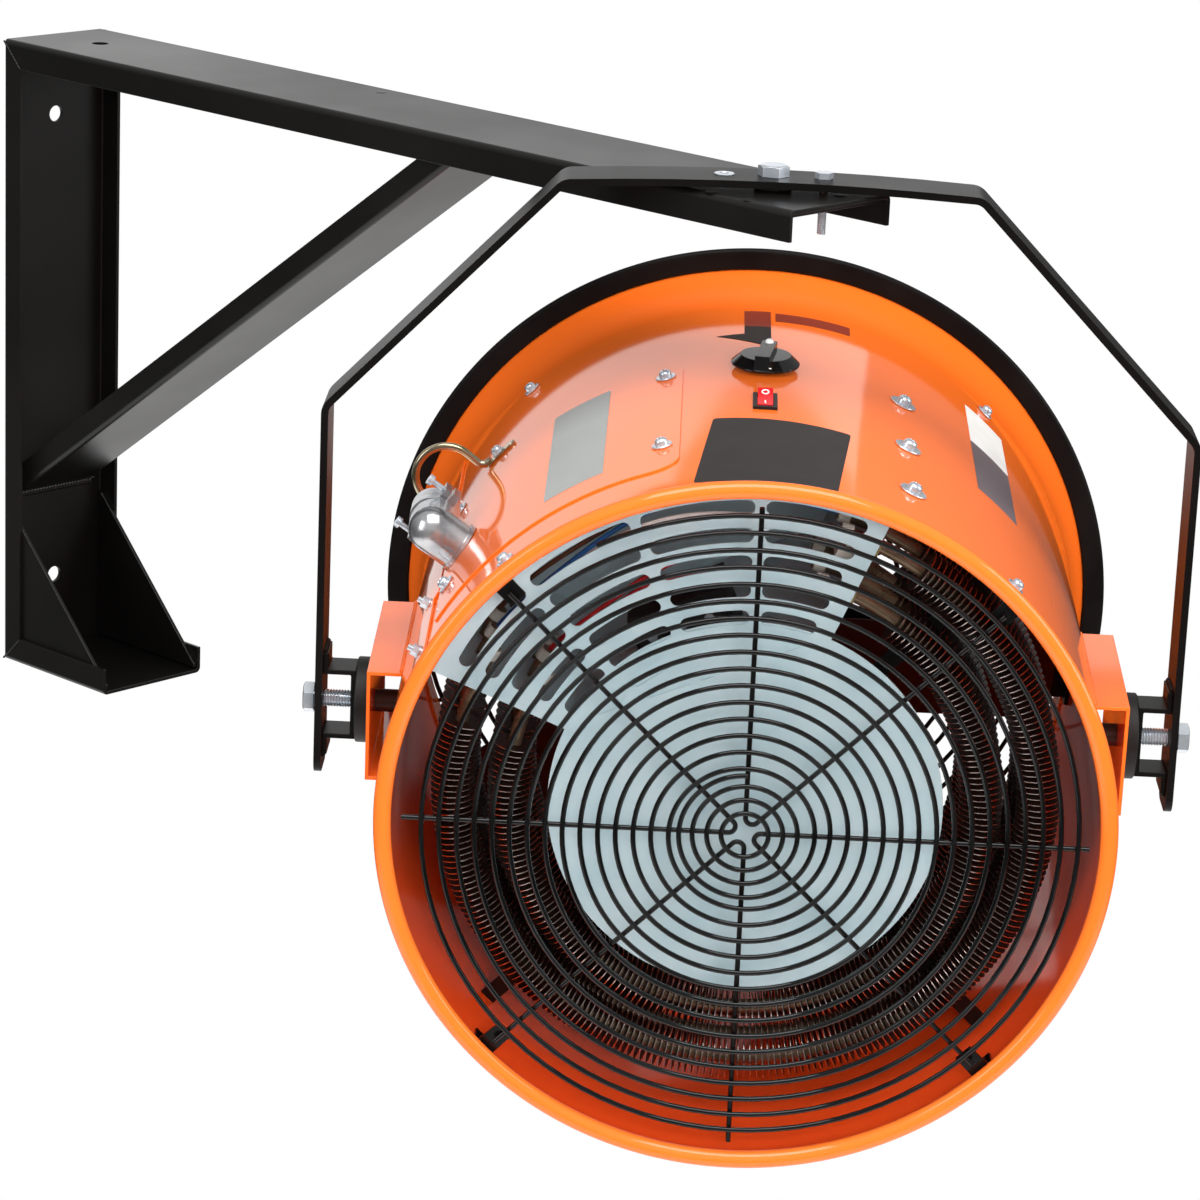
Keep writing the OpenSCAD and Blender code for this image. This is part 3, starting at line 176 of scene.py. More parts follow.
def finish(name, colour, roughness, metallic=0.0, coat=0.0, coat_roughness=0.05, other=None,
           patch=8.0, spread=0.1, grain=600.0, bump=0.05, wave=0.0, specular=0.5):
    """A surface whose colour drifts to another in soft patches, with a fine grain and, on sheet,
    a slow wave."""
    made = bpy.data.materials.new(name)
    made.use_nodes = True
    tree = made.node_tree
    shader = tree.nodes["Principled BSDF"]
    for label, value in (("Metallic", metallic), ("Coat Weight", coat),
                         ("Coat Roughness", coat_roughness), ("Specular IOR Level", specular)):
        shader.inputs[label].default_value = value
    patches = clouds(tree, patch, 5)
    drift = add_node(tree, "ShaderNodeValToRGB", {"Fac": patches})
    near, far = drift.color_ramp.elements
    paler = [min(1, c * 1.12 + 0.004) for c in colour]
    near.position, near.color = 0.32, (*colour, 1)
    far.position, far.color = 0.68, (*(other or paler), 1)
    smoothest, dullest = max(0.02, roughness - spread / 2), roughness + spread / 2
    rub = stretched(tree, patches, 0.3, 0.7, smoothest, dullest)
    grains = {"Height": clouds(tree, grain, 3), "Strength": bump, "Distance": GRAIN_DEPTH}
    relief = add_node(tree, "ShaderNodeBump", grains).outputs["Normal"]
    if wave:
        waves = {"Height": clouds(tree, WAVES_PER_M, 1), "Strength": wave, "Distance": WAVE_DEPTH,
                 "Normal": relief}
        relief = add_node(tree, "ShaderNodeBump", waves).outputs["Normal"]
    tree.links.new(drift.outputs["Color"], shader.inputs["Base Color"])
    tree.links.new(rub, shader.inputs["Roughness"])
    tree.links.new(relief, shader.inputs["Normal"])
    return made


def settle(obj, look, body, slot, *nodes, smooth=35):
    """Bake a piece's modifiers, paint it, and let it ride on its body in place of its CAD nodes."""
    bpy.context.view_layer.update()
    mesh = bpy.data.meshes.new_from_object(obj.evaluated_get(bpy.context.evaluated_depsgraph_get()))
    mesh.name = obj.name
    obj.modifiers.clear()
    obj.data = mesh
    if look:
        mesh.materials.clear()
        mesh.materials.append(look)
    if smooth:
        mesh.polygons.foreach_set("use_smooth", [True] * len(mesh.polygons))
        mesh.set_sharp_from_angle(angle=radians(smooth))
    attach(obj, body)
    if nodes:
        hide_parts(*nodes)
    return obj


def stand(name, bm, place=None):
    """An object from a bmesh, with no normals kept from CAD. Where a place is given, the bmesh is
    drawn in millimetres from it."""
    if place is not None:
        bm.transform(place @ Matrix.Scale(MM, 4))
    mesh = bpy.data.meshes.new(name)
    bm.to_mesh(mesh)
    bm.free()
    if "custom_normal" in mesh.attributes:
        mesh.attributes.remove(mesh.attributes["custom_normal"])
    obj = bpy.data.objects.new(name, mesh)
    scene.collection.objects.link(obj)
    return obj


def soften(obj, width, segments=2, angle=30):
    """Break the sharp edges by a width in millimetres, and keep the flat faces flat."""
    edge = obj.modifiers.new("edges", "BEVEL")
    edge.width = width * MM
    edge.segments = segments
    edge.limit_method = "ANGLE"
    edge.angle_limit = radians(angle)
    obj.data.polygons.foreach_set("use_smooth", [True] * len(obj.data.polygons))
    flat = obj.modifiers.new("flat", "WEIGHTED_NORMAL")
    flat.keep_sharp = True
    return obj


def merged(node):
    """A CAD node's loose triangles as a bmesh, joined at their corners."""
    bm = bmesh.new()
    bm.from_mesh(frame["nodes"][node].data)
    bmesh.ops.remove_doubles(bm, verts=bm.verts, dist=MERGE)
    return bm


def broken_edges(node, width, look, body, slot, segments=2):
    """A copy of a plain CAD node with whole faces and its edges broken, as a cut plate has."""
    bm = merged(node)
    bmesh.ops.dissolve_limit(bm, angle_limit=radians(STILL_FLAT), verts=bm.verts, edges=bm.edges)
    shown = soften(stand(node + "_shown", bm), width, segments)
    return settle(shown, look, body, slot, node, smooth=0)


black_paint = finish("satin_black_paint", (0.0030, 0.0026, 0.0024), 0.34,
                     other=(0.0055, 0.0050, 0.0046), patch=5, grain=300, bump=0, specular=0.34)
for part in ("arm_channel", "wall_channel", "foot_channel", "brace_channel", "gusset_left",
             "gusset_right", "nut_plate"):
    broken_edges(part, 0.5, black_paint, "bracket", "satin_black")
bpy.data.objects["brace_channel_shown"].visible_glossy = False

# Swivel bolt with its washer and nut. Zinc plated steel, bluish where it catches the light; the
# bolt holds the yoke down on the arm.
zinc = finish("zinc_plate", (0.52, 0.58, 0.66), 0.20, metallic=0.72, other=(0.72, 0.76, 0.80),
              patch=45, grain=2500, bump=0.02)
for part in ("swivel_bolt", "swivel_nut"):
    broken_edges(part, 0.12, zinc, "bracket", "zinc", segments=1)
washer_black = finish("black_washer", (0.005, 0.005, 0.005), 0.6, patch=60, grain=1500, specular=0.3)
broken_edges("swivel_washer", 0.3, washer_black, "bracket", "black_washer")

# Yoke. One flat steel bar bent over the drum, with round corners at the ends of its legs, a bolt
# beside the swivel that locks it, and a zinc insert in the spare hole. Its paint is a little duller.
joints = {joint["name"]: joint for joint in frame["joints"]}
to_side = joints["tilt"]["axis"]
YOKE_TURN = Matrix.Rotation(atan2(to_side[1], to_side[0]), 4, "Z")
SWIVEL = Matrix.Translation(joints["swivel"]["pos_m"]) @ YOKE_TURN
LOCK_R, LOCK_SEAT, LOCK_D, LOCK_LEN, LOCK_PITCH = 34, 8.127, 6.35, 38.1, 1.27
SPARE_R = 33
THREAD_DEPTH = 0.55
SHANK_SHARE = 0.75


def stacked(bm, rings):
    """A closed shape from rings of corners, one on the other."""
    for one, two in zip(rings, rings[1:]):
        for k in range(len(one)):
            j = (k + 1) % len(one)
            bm.faces.new((one[k], one[j], two[j], two[k]))
    bm.faces.new(reversed(rings[0]))
    bm.faces.new(rings[-1])


def thread(bm, radius, pitch, low, high, sides=24, cuts=4):
    """A rod with one screw thread, between two heights on the z axis."""
    rows = int((high - low) / pitch * cuts)
    rings = []
    for i in range(rows + 1):
        z = low + (high - low) * i / rows
        ring = []
        for k in range(sides):
            phase = (z / pitch - k / sides) % 1
            r = radius - THREAD_DEPTH * pitch * (1 - abs(2 * phase - 1))
            ring.append(bm.verts.new((r * cos(2 * pi * k / sides), r * sin(2 * pi * k / sides), z)))
        rings.append(ring)
    stacked(bm, rings)


def threaded_bolt(node, place, diameter, length, pitch, body):
    """The CAD bolt's head on a shank with its thread cut, the plain shank drawn in out of sight."""
    bm = merged(node)
    bm.transform(Matrix.Scale(1 / MM, 4) @ place.inverted())
    for v in bm.verts:
        below_seat = v.co.z < -0.01
        round_shank = abs(v.co.z) <= 0.01 and hypot(v.co.x, v.co.y) < diameter / 2 + 0.1
        if below_seat or round_shank:
            v.co.x *= SHANK_SHARE
            v.co.y *= SHANK_SHARE
        if below_seat:
            v.co.z = max(v.co.z, 1 - length)
    thread(bm, diameter / 2 - 0.02, pitch, -length, 0.5)
    bmesh.ops.recalc_face_normals(bm, faces=bm.faces)
    settle(stand(node + "_shown", bm, place), zinc, body, "zinc", node, smooth=32)


def turned(bm, outline, steps, place=Matrix.Identity(4)):
    """A closed outline of (radius, height) points turned once round the z axis of a place. Gives
    the faces that each side of the outline leaves."""
    rings = []
    for k in range(steps):
        turn = 2 * pi * k / steps
        spots = [Vector((r * cos(turn), r * sin(turn), z)) for r, z in outline]
        rings.append([bm.verts.new(place @ spot) for spot in spots])
    bands = [[] for _ in outline]
    for one, two in zip(rings, rings[1:] + rings[:1]):
        for i, band in enumerate(bands):
            j = (i + 1) % len(outline)
            band.append(bm.faces.new((one[i], two[i], two[j], one[j])))
    return bands


yoke_paint = finish("yoke_black_paint", (0.0030, 0.0026, 0.0024), 0.36,
                    other=(0.0055, 0.0050, 0.0046), patch=5, grain=300, bump=0, specular=0.13)
broken_edges("yoke_bar", 0.7, yoke_paint, "yoke", "satin_black", segments=3)
insert = bmesh.new()
insert_outline = ((5.2, 2.2), (5.2, 8.16), (6.9, 8.16), (6.9, 8.5), (6.5, 8.8), (3.4, 8.8), (2.9, 8.3),
                  (2.9, 2.2))
turned(insert, insert_outline, 40, Matrix.Translation((-SPARE_R, 0, 0)))
bmesh.ops.recalc_face_normals(insert, faces=insert.faces)
settle(stand("spare_insert", insert, SWIVEL), zinc, "yoke", "zinc")
lock_place = SWIVEL @ Matrix.Translation((LOCK_R * MM, 0, LOCK_SEAT * MM))
threaded_bolt("lock_bolt", lock_place, LOCK_D, LOCK_LEN, LOCK_PITCH, "yoke")

# Tilt pivots. On each side a hat bracket on the leg, a thick rubber friction disc that the drum
# turns against, and a bolt through both into a sleeve in the drum's trunnion.
PIVOT = Matrix.Translation(joints["tilt"]["pos_m"]) @ YOKE_TURN
PIVOT_SEAT, PIVOT_D, PIVOT_LEN, PIVOT_PITCH = 301.2, 12.7, 59.2, 1.95
for side, way in (("left", -1), ("right", 1)):
    broken_edges("spacer_" + side, 0.8, yoke_paint, "yoke", "satin_black", segments=3)
    seat = Matrix.Translation((way * PIVOT_SEAT * MM, 0, 0)) @ Matrix.Rotation(way * pi / 2, 4, "Y")
    threaded_bolt("pivot_bolt_" + side, PIVOT @ seat, PIVOT_D, PIVOT_LEN, PIVOT_PITCH, "yoke")
disc_rubber = finish("disc_rubber", (0.006, 0.0058, 0.0056), 0.55, other=(0.011, 0.0105, 0.010),
                     patch=40, grain=1800, bump=0.12, specular=0.35)
for side in ("left", "right"):
    broken_edges("friction_disc_" + side, 1.2, disc_rubber, "yoke", "disc_rubber", segments=3)

# Drum wall. Rolled sheet steel in gloss orange enamel, its front rim curled over a wire. Inside,
# the enamel's colour is deeper and redder: painted light, standing in for the orange light bounced
# between the walls. It is also less shiny there.
REST_TILT = asin(-joints["fan_spin"]["axis"][2])
DRUM_DROP = 4.4
TILT = PIVOT @ Matrix.Rotation(REST_TILT, 4, "X")
DRUM = TILT @ Matrix.Translation((0, 0, -DRUM_DROP * MM)) @ Matrix.Rotation(pi / 2, 4, "X")
DRUM_R, WALL_T, REAR_A, WALL_END = 241, 1.5, -200, 190
BEAD_A, BEAD_R, BEAD_D = 196.5, 237.9, 11.8
END_STRIP = 0.6
inner_r = DRUM_R - WALL_T


def spun(name, outline):
    """A closed outline of (radius, distance) points turned once round the drum's axis."""
    bm = bmesh.new()
    turned(bm, outline, 256)
    bmesh.ops.recalc_face_normals(bm, faces=bm.faces)
    return stand(name, bm, DRUM)


def polar(radius, angle, height=0.0):
    """A point at a radius, an angle in degrees and a height on the axis."""
    return (radius * cos(radians(angle)), radius * sin(radians(angle)), height)


def bow(centre, radius, start, end, steps):
    """Points along an arc, angles in degrees."""
    spots = [polar(radius, start + (end - start) * i / steps) for i in range(steps + 1)]
    return [(centre[0] + x, centre[1] + y) for x, y, _ in spots]


def bead_angle(r):
    """Where the bead's round section meets a wall of radius r, in degrees."""
    return degrees(atan2(-sqrt((BEAD_D / 2) ** 2 - (r - BEAD_R) ** 2), r - BEAD_R))


enamel = finish("orange_enamel", (0.90, 0.155, 0.017), 0.07, other=(0.92, 0.168, 0.020), patch=3,
                spread=0.03, grain=260, bump=0.02, wave=0.05)
rows_a = [REAR_A, REAR_A + END_STRIP, -100, 0, 100, WALL_END - END_STRIP, WALL_END]
outline = [(DRUM_R, a) for a in rows_a]
outline += bow((BEAD_R, BEAD_A), BEAD_D / 2, bead_angle(DRUM_R), 360 + bead_angle(inner_r), 28)
outline += [(inner_r, a) for a in reversed(rows_a)]
drum_wall = settle(spun("drum_wall", outline), enamel, "drum", "orange_enamel", "drum_shell")
# A redder copy of the enamel for the inner faces: painted light for the orange light bounced inside the
# drum.
inner_enamel = finish("inner_enamel", (0.95, 0.075, 0.012), 0.10, other=(0.97, 0.090, 0.014),
                      patch=3, spread=0.04, grain=260, bump=0.02, wave=0.05, specular=0.12)
drum_wall.data.materials.append(inner_enamel)
to_axis = DRUM.inverted()
# Inner faces up to the bead take that redder enamel, the painted bounced light.
for face in drum_wall.data.polygons:
    spot = to_axis @ face.center
    inside = hypot(spot.x, spot.y) < (DRUM_R - WALL_T / 2) * MM
    face.material_index = int(inside and spot.z < (WALL_END + 1) * MM)

# Rear bell. A ring of the same sheet and enamel, let into the drum's rear end and flared outwards
# behind it, with a flat edge.
BELL_LEN, BELL_RISE, BELL_LAP, BELL_R = 61.5, 13.4, 26, 267.6
bell_enamel = finish("bell_enamel", (0.88, 0.140, 0.012), 0.14, other=(0.90, 0.152, 0.014),
                     patch=4, spread=0.05, grain=260, bump=0.02, wave=0.05)
sweep_r = (BELL_LEN ** 2 + BELL_RISE ** 2) / (2 * BELL_RISE)
sweep = degrees(asin(BELL_LEN / sweep_r))
sweep_centre = (DRUM_R + sweep_r, REAR_A)
bell_end = REAR_A - BELL_LEN
lap_end = REAR_A + BELL_LAP
outline = [(inner_r - WALL_T, lap_end), (inner_r, lap_end), (inner_r, REAR_A)]
outline += bow(sweep_centre, sweep_r, 180, 180 + sweep, 16)
outline += [(BELL_R, bell_end), (BELL_R, bell_end - WALL_T)]
outline += bow(sweep_centre, sweep_r + WALL_T, 180 + sweep, 180, 16)[:-1]
outline += [(inner_r - WALL_T, REAR_A)]
settle(spun("rear_bell_shown", outline), bell_enamel, "drum", "orange_enamel", "rear_bell")

# Trim ring. Black rubber with round corners, pushed over the bell's edge so that no sheet edge
# is left bare.
RING_LOW, RING_HIGH, LOW_ROUND, HIGH_ROUND = 254.4, 270.5, 2.4, 3
ring_back, ring_front = bell_end - 3.75, bell_end + 2.25
ring_rubber = finish("ring_rubber", (0.0042, 0.0036, 0.0034), 0.40, other=(0.0075, 0.0064, 0.006),
                     patch=20, grain=900, specular=0.08)
outline = bow((RING_HIGH - HIGH_ROUND, ring_front - HIGH_ROUND), HIGH_ROUND, 0, 90, 8)
outline += bow((RING_LOW + LOW_ROUND, ring_front - LOW_ROUND), LOW_ROUND, 90, 180, 8)
outline += bow((RING_LOW + LOW_ROUND, ring_back + LOW_ROUND), LOW_ROUND, 180, 270, 8)
outline += bow((RING_HIGH - HIGH_ROUND, ring_back + HIGH_ROUND), HIGH_ROUND, 270, 360, 8)
settle(spun("rear_trim_ring_shown", outline), ring_rubber, "drum", "ring_rubber", "rear_trim_ring")

# Trunnions. A folded sheet bracket on each side of the drum, in the drum's enamel, with a
# threaded sleeve inside that the pivot bolt screws into.
for side in ("left", "right"):
    broken_edges("trunnion_" + side, 0.4, enamel, "drum", "orange_enamel")
dark_steel = finish("dark_sleeve", (0.05, 0.032, 0.026), 0.4, metallic=0.6, patch=50, grain=1500)
for side in ("left", "right"):
    broken_edges("sleeve_" + side, 0.3, dark_steel, "drum", "dark_steel")

# Front guard. Steel wire in gloss black: a spiral that opens by one wire and a gap each turn,
# three rings at the hub, and four wires behind it, each bent to a hairpin to make two spokes.
WIRE, GUARD_A, GUARD_R = 3.5, 198.0, 222.0
SPIRAL_R0, FIRST_TURN, SPIRAL_PITCH, SPIRAL_STEPS = 42, 5, 11.6, 90
HUB_RADII = (15.5, 25, 34.5)
HAIRPINS, HAIRPIN_BEND = 4, 4.5
wire_black = finish("gloss_black_wire", (0.0012, 0.0012, 0.0012), 0.05, patch=20, spread=0.03,
                    grain=700, bump=0, specular=0.42)


def new_tree(name, inputs):
    """A geometry tree whose named inputs are each of a kind. Gives the tree and what comes in."""
    tree = bpy.data.node_groups.new(name, "GeometryNodeTree")
    for way in ("INPUT", "OUTPUT"):
        tree.interface.new_socket("Geometry", in_out=way, socket_type="NodeSocketGeometry")
    for label, kind in inputs.items():
        tree.interface.new_socket(label, in_out="INPUT", socket_type="NodeSocket" + kind)
    return tree, add_node(tree, "NodeGroupInput").outputs


def real_and_painted(tree, geometry, look):
    """The end of most trees: plain geometry in one finish."""
    real = add_node(tree, "GeometryNodeRealizeInstances", {0: geometry}).outputs[0]
    return add_node(tree, "GeometryNodeSetMaterial", {"Geometry": real, "Material": look}).outputs[0]


def grown(name, tree, values, base):
    """An object whose mesh comes from a geometry tree, with its inputs set by socket identifier."""
    obj = bpy.data.objects.new(name, base)
    scene.collection.objects.link(obj)
    modifier = obj.modifiers.new("grown", "NODES")
    modifier.node_group = tree
    for item in tree.interface.items_tree:
        if item.in_out == "INPUT" and item.name in values:
            modifier[item.identifier] = values[item.name]
    return obj


def wire_tree():
    """Sweeps the edges that come in with a round wire, which can swell and shrink along its run."""
    tree, come = new_tree("bent_wire", {"Radius": "Float", "Ripple": "Float", "Ripple pitch": "Float",
                                        "Finish": "Material"})
    run = add_node(tree, "GeometryNodeMeshToCurve", {"Mesh": come["Geometry"]}).outputs["Curve"]
    circle = {"Resolution": 12, "Radius": come["Radius"]}
    section = add_node(tree, "GeometryNodeCurvePrimitiveCircle", circle).outputs["Curve"]
    along = add_node(tree, "GeometryNodeSplineParameter").outputs["Length"]
    phase = maths(tree, "MULTIPLY", maths(tree, "DIVIDE", along, come["Ripple pitch"]), 2 * pi)
    swell = maths(tree, "MULTIPLY_ADD", maths(tree, "SINE", phase), come["Ripple"], 1.0)
    swept = {"Curve": run, "Profile Curve": section, "Scale": swell, "Fill Caps": True}
    wire = add_node(tree, "GeometryNodeCurveToMesh", swept).outputs["Mesh"]
    smooth = add_node(tree, "GeometryNodeSetShadeSmooth", {"Geometry": wire}).outputs["Geometry"]
    add_node(tree, "NodeGroupOutput", {"Geometry": real_and_painted(tree, smooth, come["Finish"])})
    return tree


bent_wire = wire_tree()


def line_mesh(name, runs, place):
    """Open or closed runs of points in millimetres, as edges for a geometry tree to follow."""
    points, edges = [], []
    for run, closed in runs:
        first = len(points)
        points += [place @ (Vector(p) * MM) for p in run]
        edges += [(first + i, first + i + 1) for i in range(len(run) - 1)]
        if closed:
            edges.append((first + len(run) - 1, first))
    mesh = bpy.data.meshes.new(name)
    mesh.from_pydata([tuple(p) for p in points], edges, [])
    return mesh


def wires_along(name, runs, radius, look, body, slot, *nodes, place=DRUM, ripple=0.0, pitch=3.0):
    """Round wires along runs of points, in one piece."""
    values = {"Radius": radius * MM, "Ripple": ripple, "Ripple pitch": pitch * MM, "Finish": look}
    wires = grown(name, bent_wire, values, line_mesh(name, runs, place))
    return settle(wires, look, body, slot, *nodes)


def ring_run(radius, height, sides):
    """One closed run round the axis."""
    return ([polar(radius, 360 * k / sides, height) for k in range(sides)], True)


spiral = []
for i in range(int((1 + (GUARD_R - SPIRAL_R0 - FIRST_TURN) / SPIRAL_PITCH) * SPIRAL_STEPS) + 1):
    turn = i / SPIRAL_STEPS
    spiral_r = SPIRAL_R0 + FIRST_TURN * min(turn, 1) + SPIRAL_PITCH * max(turn - 1, 0)
    spiral.append(polar(spiral_r, 90 + 360 * turn, GUARD_A))
hub_rings = [ring_run(r, GUARD_A, 48) for r in HUB_RADII]
wires_along("guard_spiral", [(spiral, False)] + hub_rings, WIRE / 2, wire_black, "drum",
            "gloss_black_wire", "front_guard_spiral")

hairpins = []
half = 180 / HAIRPINS / 2
nose = HAIRPIN_BEND / sin(radians(half))
outer_x, outer_y, _ = polar(GUARD_R + WIRE, half)
hairpin = [(outer_x, -outer_y)] + bow((nose, 0), HAIRPIN_BEND, 248, 112, 17) + [(outer_x, outer_y)]
for k in range(HAIRPINS):
    round_axis = Matrix.Rotation(radians(360 * k / HAIRPINS + 67.5), 4, "Z")
    hairpins.append(([round_axis @ Vector((x, y, GUARD_A - WIRE)) for x, y in hairpin], False))
wires_along("guard_spokes", hairpins, WIRE / 2, wire_black, "drum", "gloss_black_wire",
            "front_guard_spokes")
broken_edges("guard_clips", 0.3, wire_black, "drum", "gloss_black_wire")

# Rear guard. The same wire in plain rings, with eight spokes across them on the side of the fan.
REAR_GUARD_A, REAR_RINGS, REAR_SPOKES = -258, 14, 8
REAR_LOW, REAR_HIGH, SPOKE_OVER = 60, 245.333, 3.5
rear_runs = []
for i in range(REAR_RINGS):
    r = REAR_LOW + (REAR_HIGH - REAR_LOW) * i / (REAR_RINGS - 1)
    rear_runs.append(ring_run(r, REAR_GUARD_A, 72))
for k in range(REAR_SPOKES):
    angle = 360 * (k + 0.5) / REAR_SPOKES
    ends = (REAR_LOW - SPOKE_OVER, REAR_HIGH + SPOKE_OVER)
    rear_runs.append(([polar(r, angle, REAR_GUARD_A + WIRE) for r in ends], False))
wires_along("rear_guard_wires", rear_runs, WIRE / 2, wire_black, "drum", "gloss_black_wire",
            "rear_guard")

# Welds. Rippled beads under the paint: on the mitred corners and the brace's foot, along the feet
# of the hat brackets and along the trunnions, and low domes where plates are plug welded.
CORNER_X, CORNER_Y, CORNER_Z, CORNER_LEG = 50.8, -1.2, 252.8, 19.8
BRACE_HALF, BRACE_TOP, BRACE_FOOT, BRACE_FACE = 38.4, -93, -115, -3.4
BRACE_ROUND, BRACE_UNDER = 1.4, 1.5
FOOT_X, FOOT_Z, FOOT_HALF = 293.6, 37.2, 14
TRUNNION_FRONT, TRUNNION_BACK = -49, 91
SWIVEL_Y, BRACE_PLUG, ARM_TOP, PLUG_R = -763, (34, -342), 254, 48.3


def weld_beads(name, lines, radius, look, body, slot, place=Matrix.Identity(4)):
    """Rippled beads of weld along straight lines."""
    runs = []
    for start, end in lines:
        start, end = Vector(start), Vector(end)
        steps = max(2, int((end - start).length / 0.6))
        runs.append(([start.lerp(end, i / steps) for i in range(steps + 1)], False))
    wires_along(name, runs, radius, look, body, slot, place=place, ripple=0.14)


def low_domes(name, spots, radius, rise, look, body, slot):
    """Plug welds that stand a little proud of flat sheet."""
    bm = bmesh.new()
    for spot in spots:
        flat = Matrix.Translation(spot) @ Matrix.Diagonal((radius, radius, rise, 1))
        bmesh.ops.create_uvsphere(bm, u_segments=20, v_segments=10, radius=1, matrix=flat)
    settle(stand(name, bm, Matrix.Identity(4)), look, body, slot)


corner_lines = []
for x in (-CORNER_X, CORNER_X):
    for way in (1, -1):
        inner_end = (x, CORNER_Y - CORNER_LEG, way * (CORNER_Z - CORNER_LEG))
        corner_lines.append(((x, CORNER_Y, way * CORNER_Z), inner_end))
weld_beads("corner_welds", corner_lines, 0.8, black_paint, "bracket", "satin_black")
low_x, low_z = BRACE_HALF - BRACE_ROUND, BRACE_FOOT - BRACE_UNDER
brace_lines = [((-low_x, BRACE_FACE, low_z), (low_x, BRACE_FACE, low_z))]
brace_lines += [((x, BRACE_FACE, BRACE_FOOT), (x, BRACE_FACE, BRACE_TOP))
                for x in (-BRACE_HALF, BRACE_HALF)]
weld_beads("brace_weld", brace_lines, 2.6, black_paint, "bracket", "satin_black")
foot_lines = [((x, -FOOT_HALF, z), (x, FOOT_HALF, z))
              for x in (-FOOT_X, FOOT_X) for z in (-FOOT_Z, FOOT_Z)]
weld_beads("foot_welds", foot_lines, 1.9, yoke_paint, "yoke", "satin_black", PIVOT)
trunnion_lines = [((way * x, TRUNNION_FRONT, z), (way * x, TRUNNION_BACK, z))
                  for way in (-1, 1) for x, z in ((237.2, 40.3), (238.6, -40.3))]
weld_beads("trunnion_welds", trunnion_lines, 1.5, enamel, "drum", "orange_enamel", TILT)
plugs = [Vector(polar(PLUG_R, t, ARM_TOP)) + Vector((0, SWIVEL_Y, 0)) for t in (-69, 164, -157)]
plugs.append((*BRACE_PLUG, ARM_TOP))
low_domes("plug_welds", plugs, 4.6, 0.3, black_paint, "bracket", "satin_black")

# Centre baffle and slotted plate. Galvanised sheet: a round disc that sends the air through the
# elements, and over it the slotted front of the terminal box.
galvanised = finish("galvanised_sheet", (0.46, 0.62, 0.67), 0.42, metallic=0.25,
                    other=(0.56, 0.69, 0.73), patch=30, spread=0.14, grain=700)
for part in ("centre_baffle", "slotted_plate", "terminal_box"):
    broken_edges(part, 0.25, galvanised, "drum", "galvanised")

# Elements. Steel sheathed loops in three rows, heat tinted. Each ends inside the terminal box,
# where nuts clamp it in the walls.
LOOPS = {"inner": 158.0, "outer": 196.0}
ROWS_A = (125.0, 88.0, 51.0)
BOX_END, BOX_SPAN, TUBE_D, TAIL = 157.5, 90, 9.5, 24
sheath = finish("element_sheath", (0.15, 0.095, 0.055), 0.30, metallic=0.7, other=(0.28, 0.20, 0.13),
                patch=60, grain=1200, bump=0.04)
for loop, radius in LOOPS.items():
    inside = degrees(asin(TAIL / radius))
    start, arc = BOX_END - inside, 360 - BOX_SPAN + 2 * inside
    runs = [([polar(radius, start + arc * i / 120, a) for i in range(121)], False) for a in ROWS_A]
    wires_along(loop + "_element_tubes", runs, TUBE_D / 2, sheath, "drum", "element_sheath",
                loop + "_elements")

# Fins. Thin dark steel washers pushed on close together along each element, square to its arc,
# with a bare length at both ends. Their rims carry a brighter metal: a painted highlight that
# stands in for the glints on the fin edges.
FIN_PITCH, FIN_R, FIN_HALF_T, PLAIN = 4.23, 15, 0.3, 34


def copied(tree, points, thing, turn):
    """An object's shape copied to each point and turned there."""
    shape = add_node(tree, "GeometryNodeObjectInfo", {"Object": thing}).outputs["Geometry"]
    wanted = {"Points": points, "Instance": shape, "Rotation": turn}
    return add_node(tree, "GeometryNodeInstanceOnPoints", wanted).outputs[0]


def fin_tree():
    """Copies of a fin set square on an arc, at an even pitch, for each row."""
    tree, come = new_tree("pushed_on_fins", {
        "Loop radius": "Float", "Start angle": "Float", "Sweep": "Float", "Count": "Float",
        "Fin": "Object", "Finish": "Material", "Rim finish": "Material"})
    points = add_node(tree, "GeometryNodePoints", {"Count": come["Count"]}).outputs[0]
    index = add_node(tree, "GeometryNodeInputIndex").outputs[0]
    share = maths(tree, "DIVIDE", index, come["Count"])
    angle = maths(tree, "MULTIPLY_ADD", share, come["Sweep"], come["Start angle"])
    x = maths(tree, "MULTIPLY", maths(tree, "COSINE", angle), come["Loop radius"])
    y = maths(tree, "MULTIPLY", maths(tree, "SINE", angle), come["Loop radius"])
    spot = add_node(tree, "ShaderNodeCombineXYZ", {"X": x, "Y": y}).outputs[0]
    placed = add_node(tree, "GeometryNodeSetPosition", {"Geometry": points, "Position": spot})
    about_z = add_node(tree, "ShaderNodeCombineXYZ", {"Z": angle}).outputs[0]
    turn = add_node(tree, "FunctionNodeEulerToRotation", {0: about_z}).outputs[0]
    copies = copied(tree, placed.outputs[0], come["Fin"], turn)
    # The rim faces get the bright finish, a painted highlight on the fin edges.
    rim = add_node(tree, "GeometryNodeInputNamedAttribute", {"Name": "rim"}, data_type="BOOLEAN")
    rims = {"Geometry": real_and_painted(tree, copies, come["Finish"]),
            "Selection": rim.outputs["Attribute"], "Material": come["Rim finish"]}
    add_node(tree, "NodeGroupOutput", {0: add_node(tree, "GeometryNodeSetMaterial", rims).outputs[0]})
    return tree


def fin_shapes(name, rows):
    """One thin washer in each row, standing across the tube, for the tree to copy."""
    bm = bmesh.new()
    rim = bm.faces.layers.bool.new("rim")
    tube_r = TUBE_D / 2
    outline = ((tube_r, -FIN_HALF_T), (FIN_R, -FIN_HALF_T), (FIN_R, FIN_HALF_T), (tube_r, FIN_HALF_T))
    for a in rows:
        across_tube = Matrix.Translation((0, 0, a)) @ Matrix.Rotation(pi / 2, 4, "X")
        for face in turned(bm, outline, 18, across_tube)[1]:
            face[rim] = True
    bmesh.ops.recalc_face_normals(bm, faces=bm.faces)
    return stand(name, bm, Matrix.Identity(4))


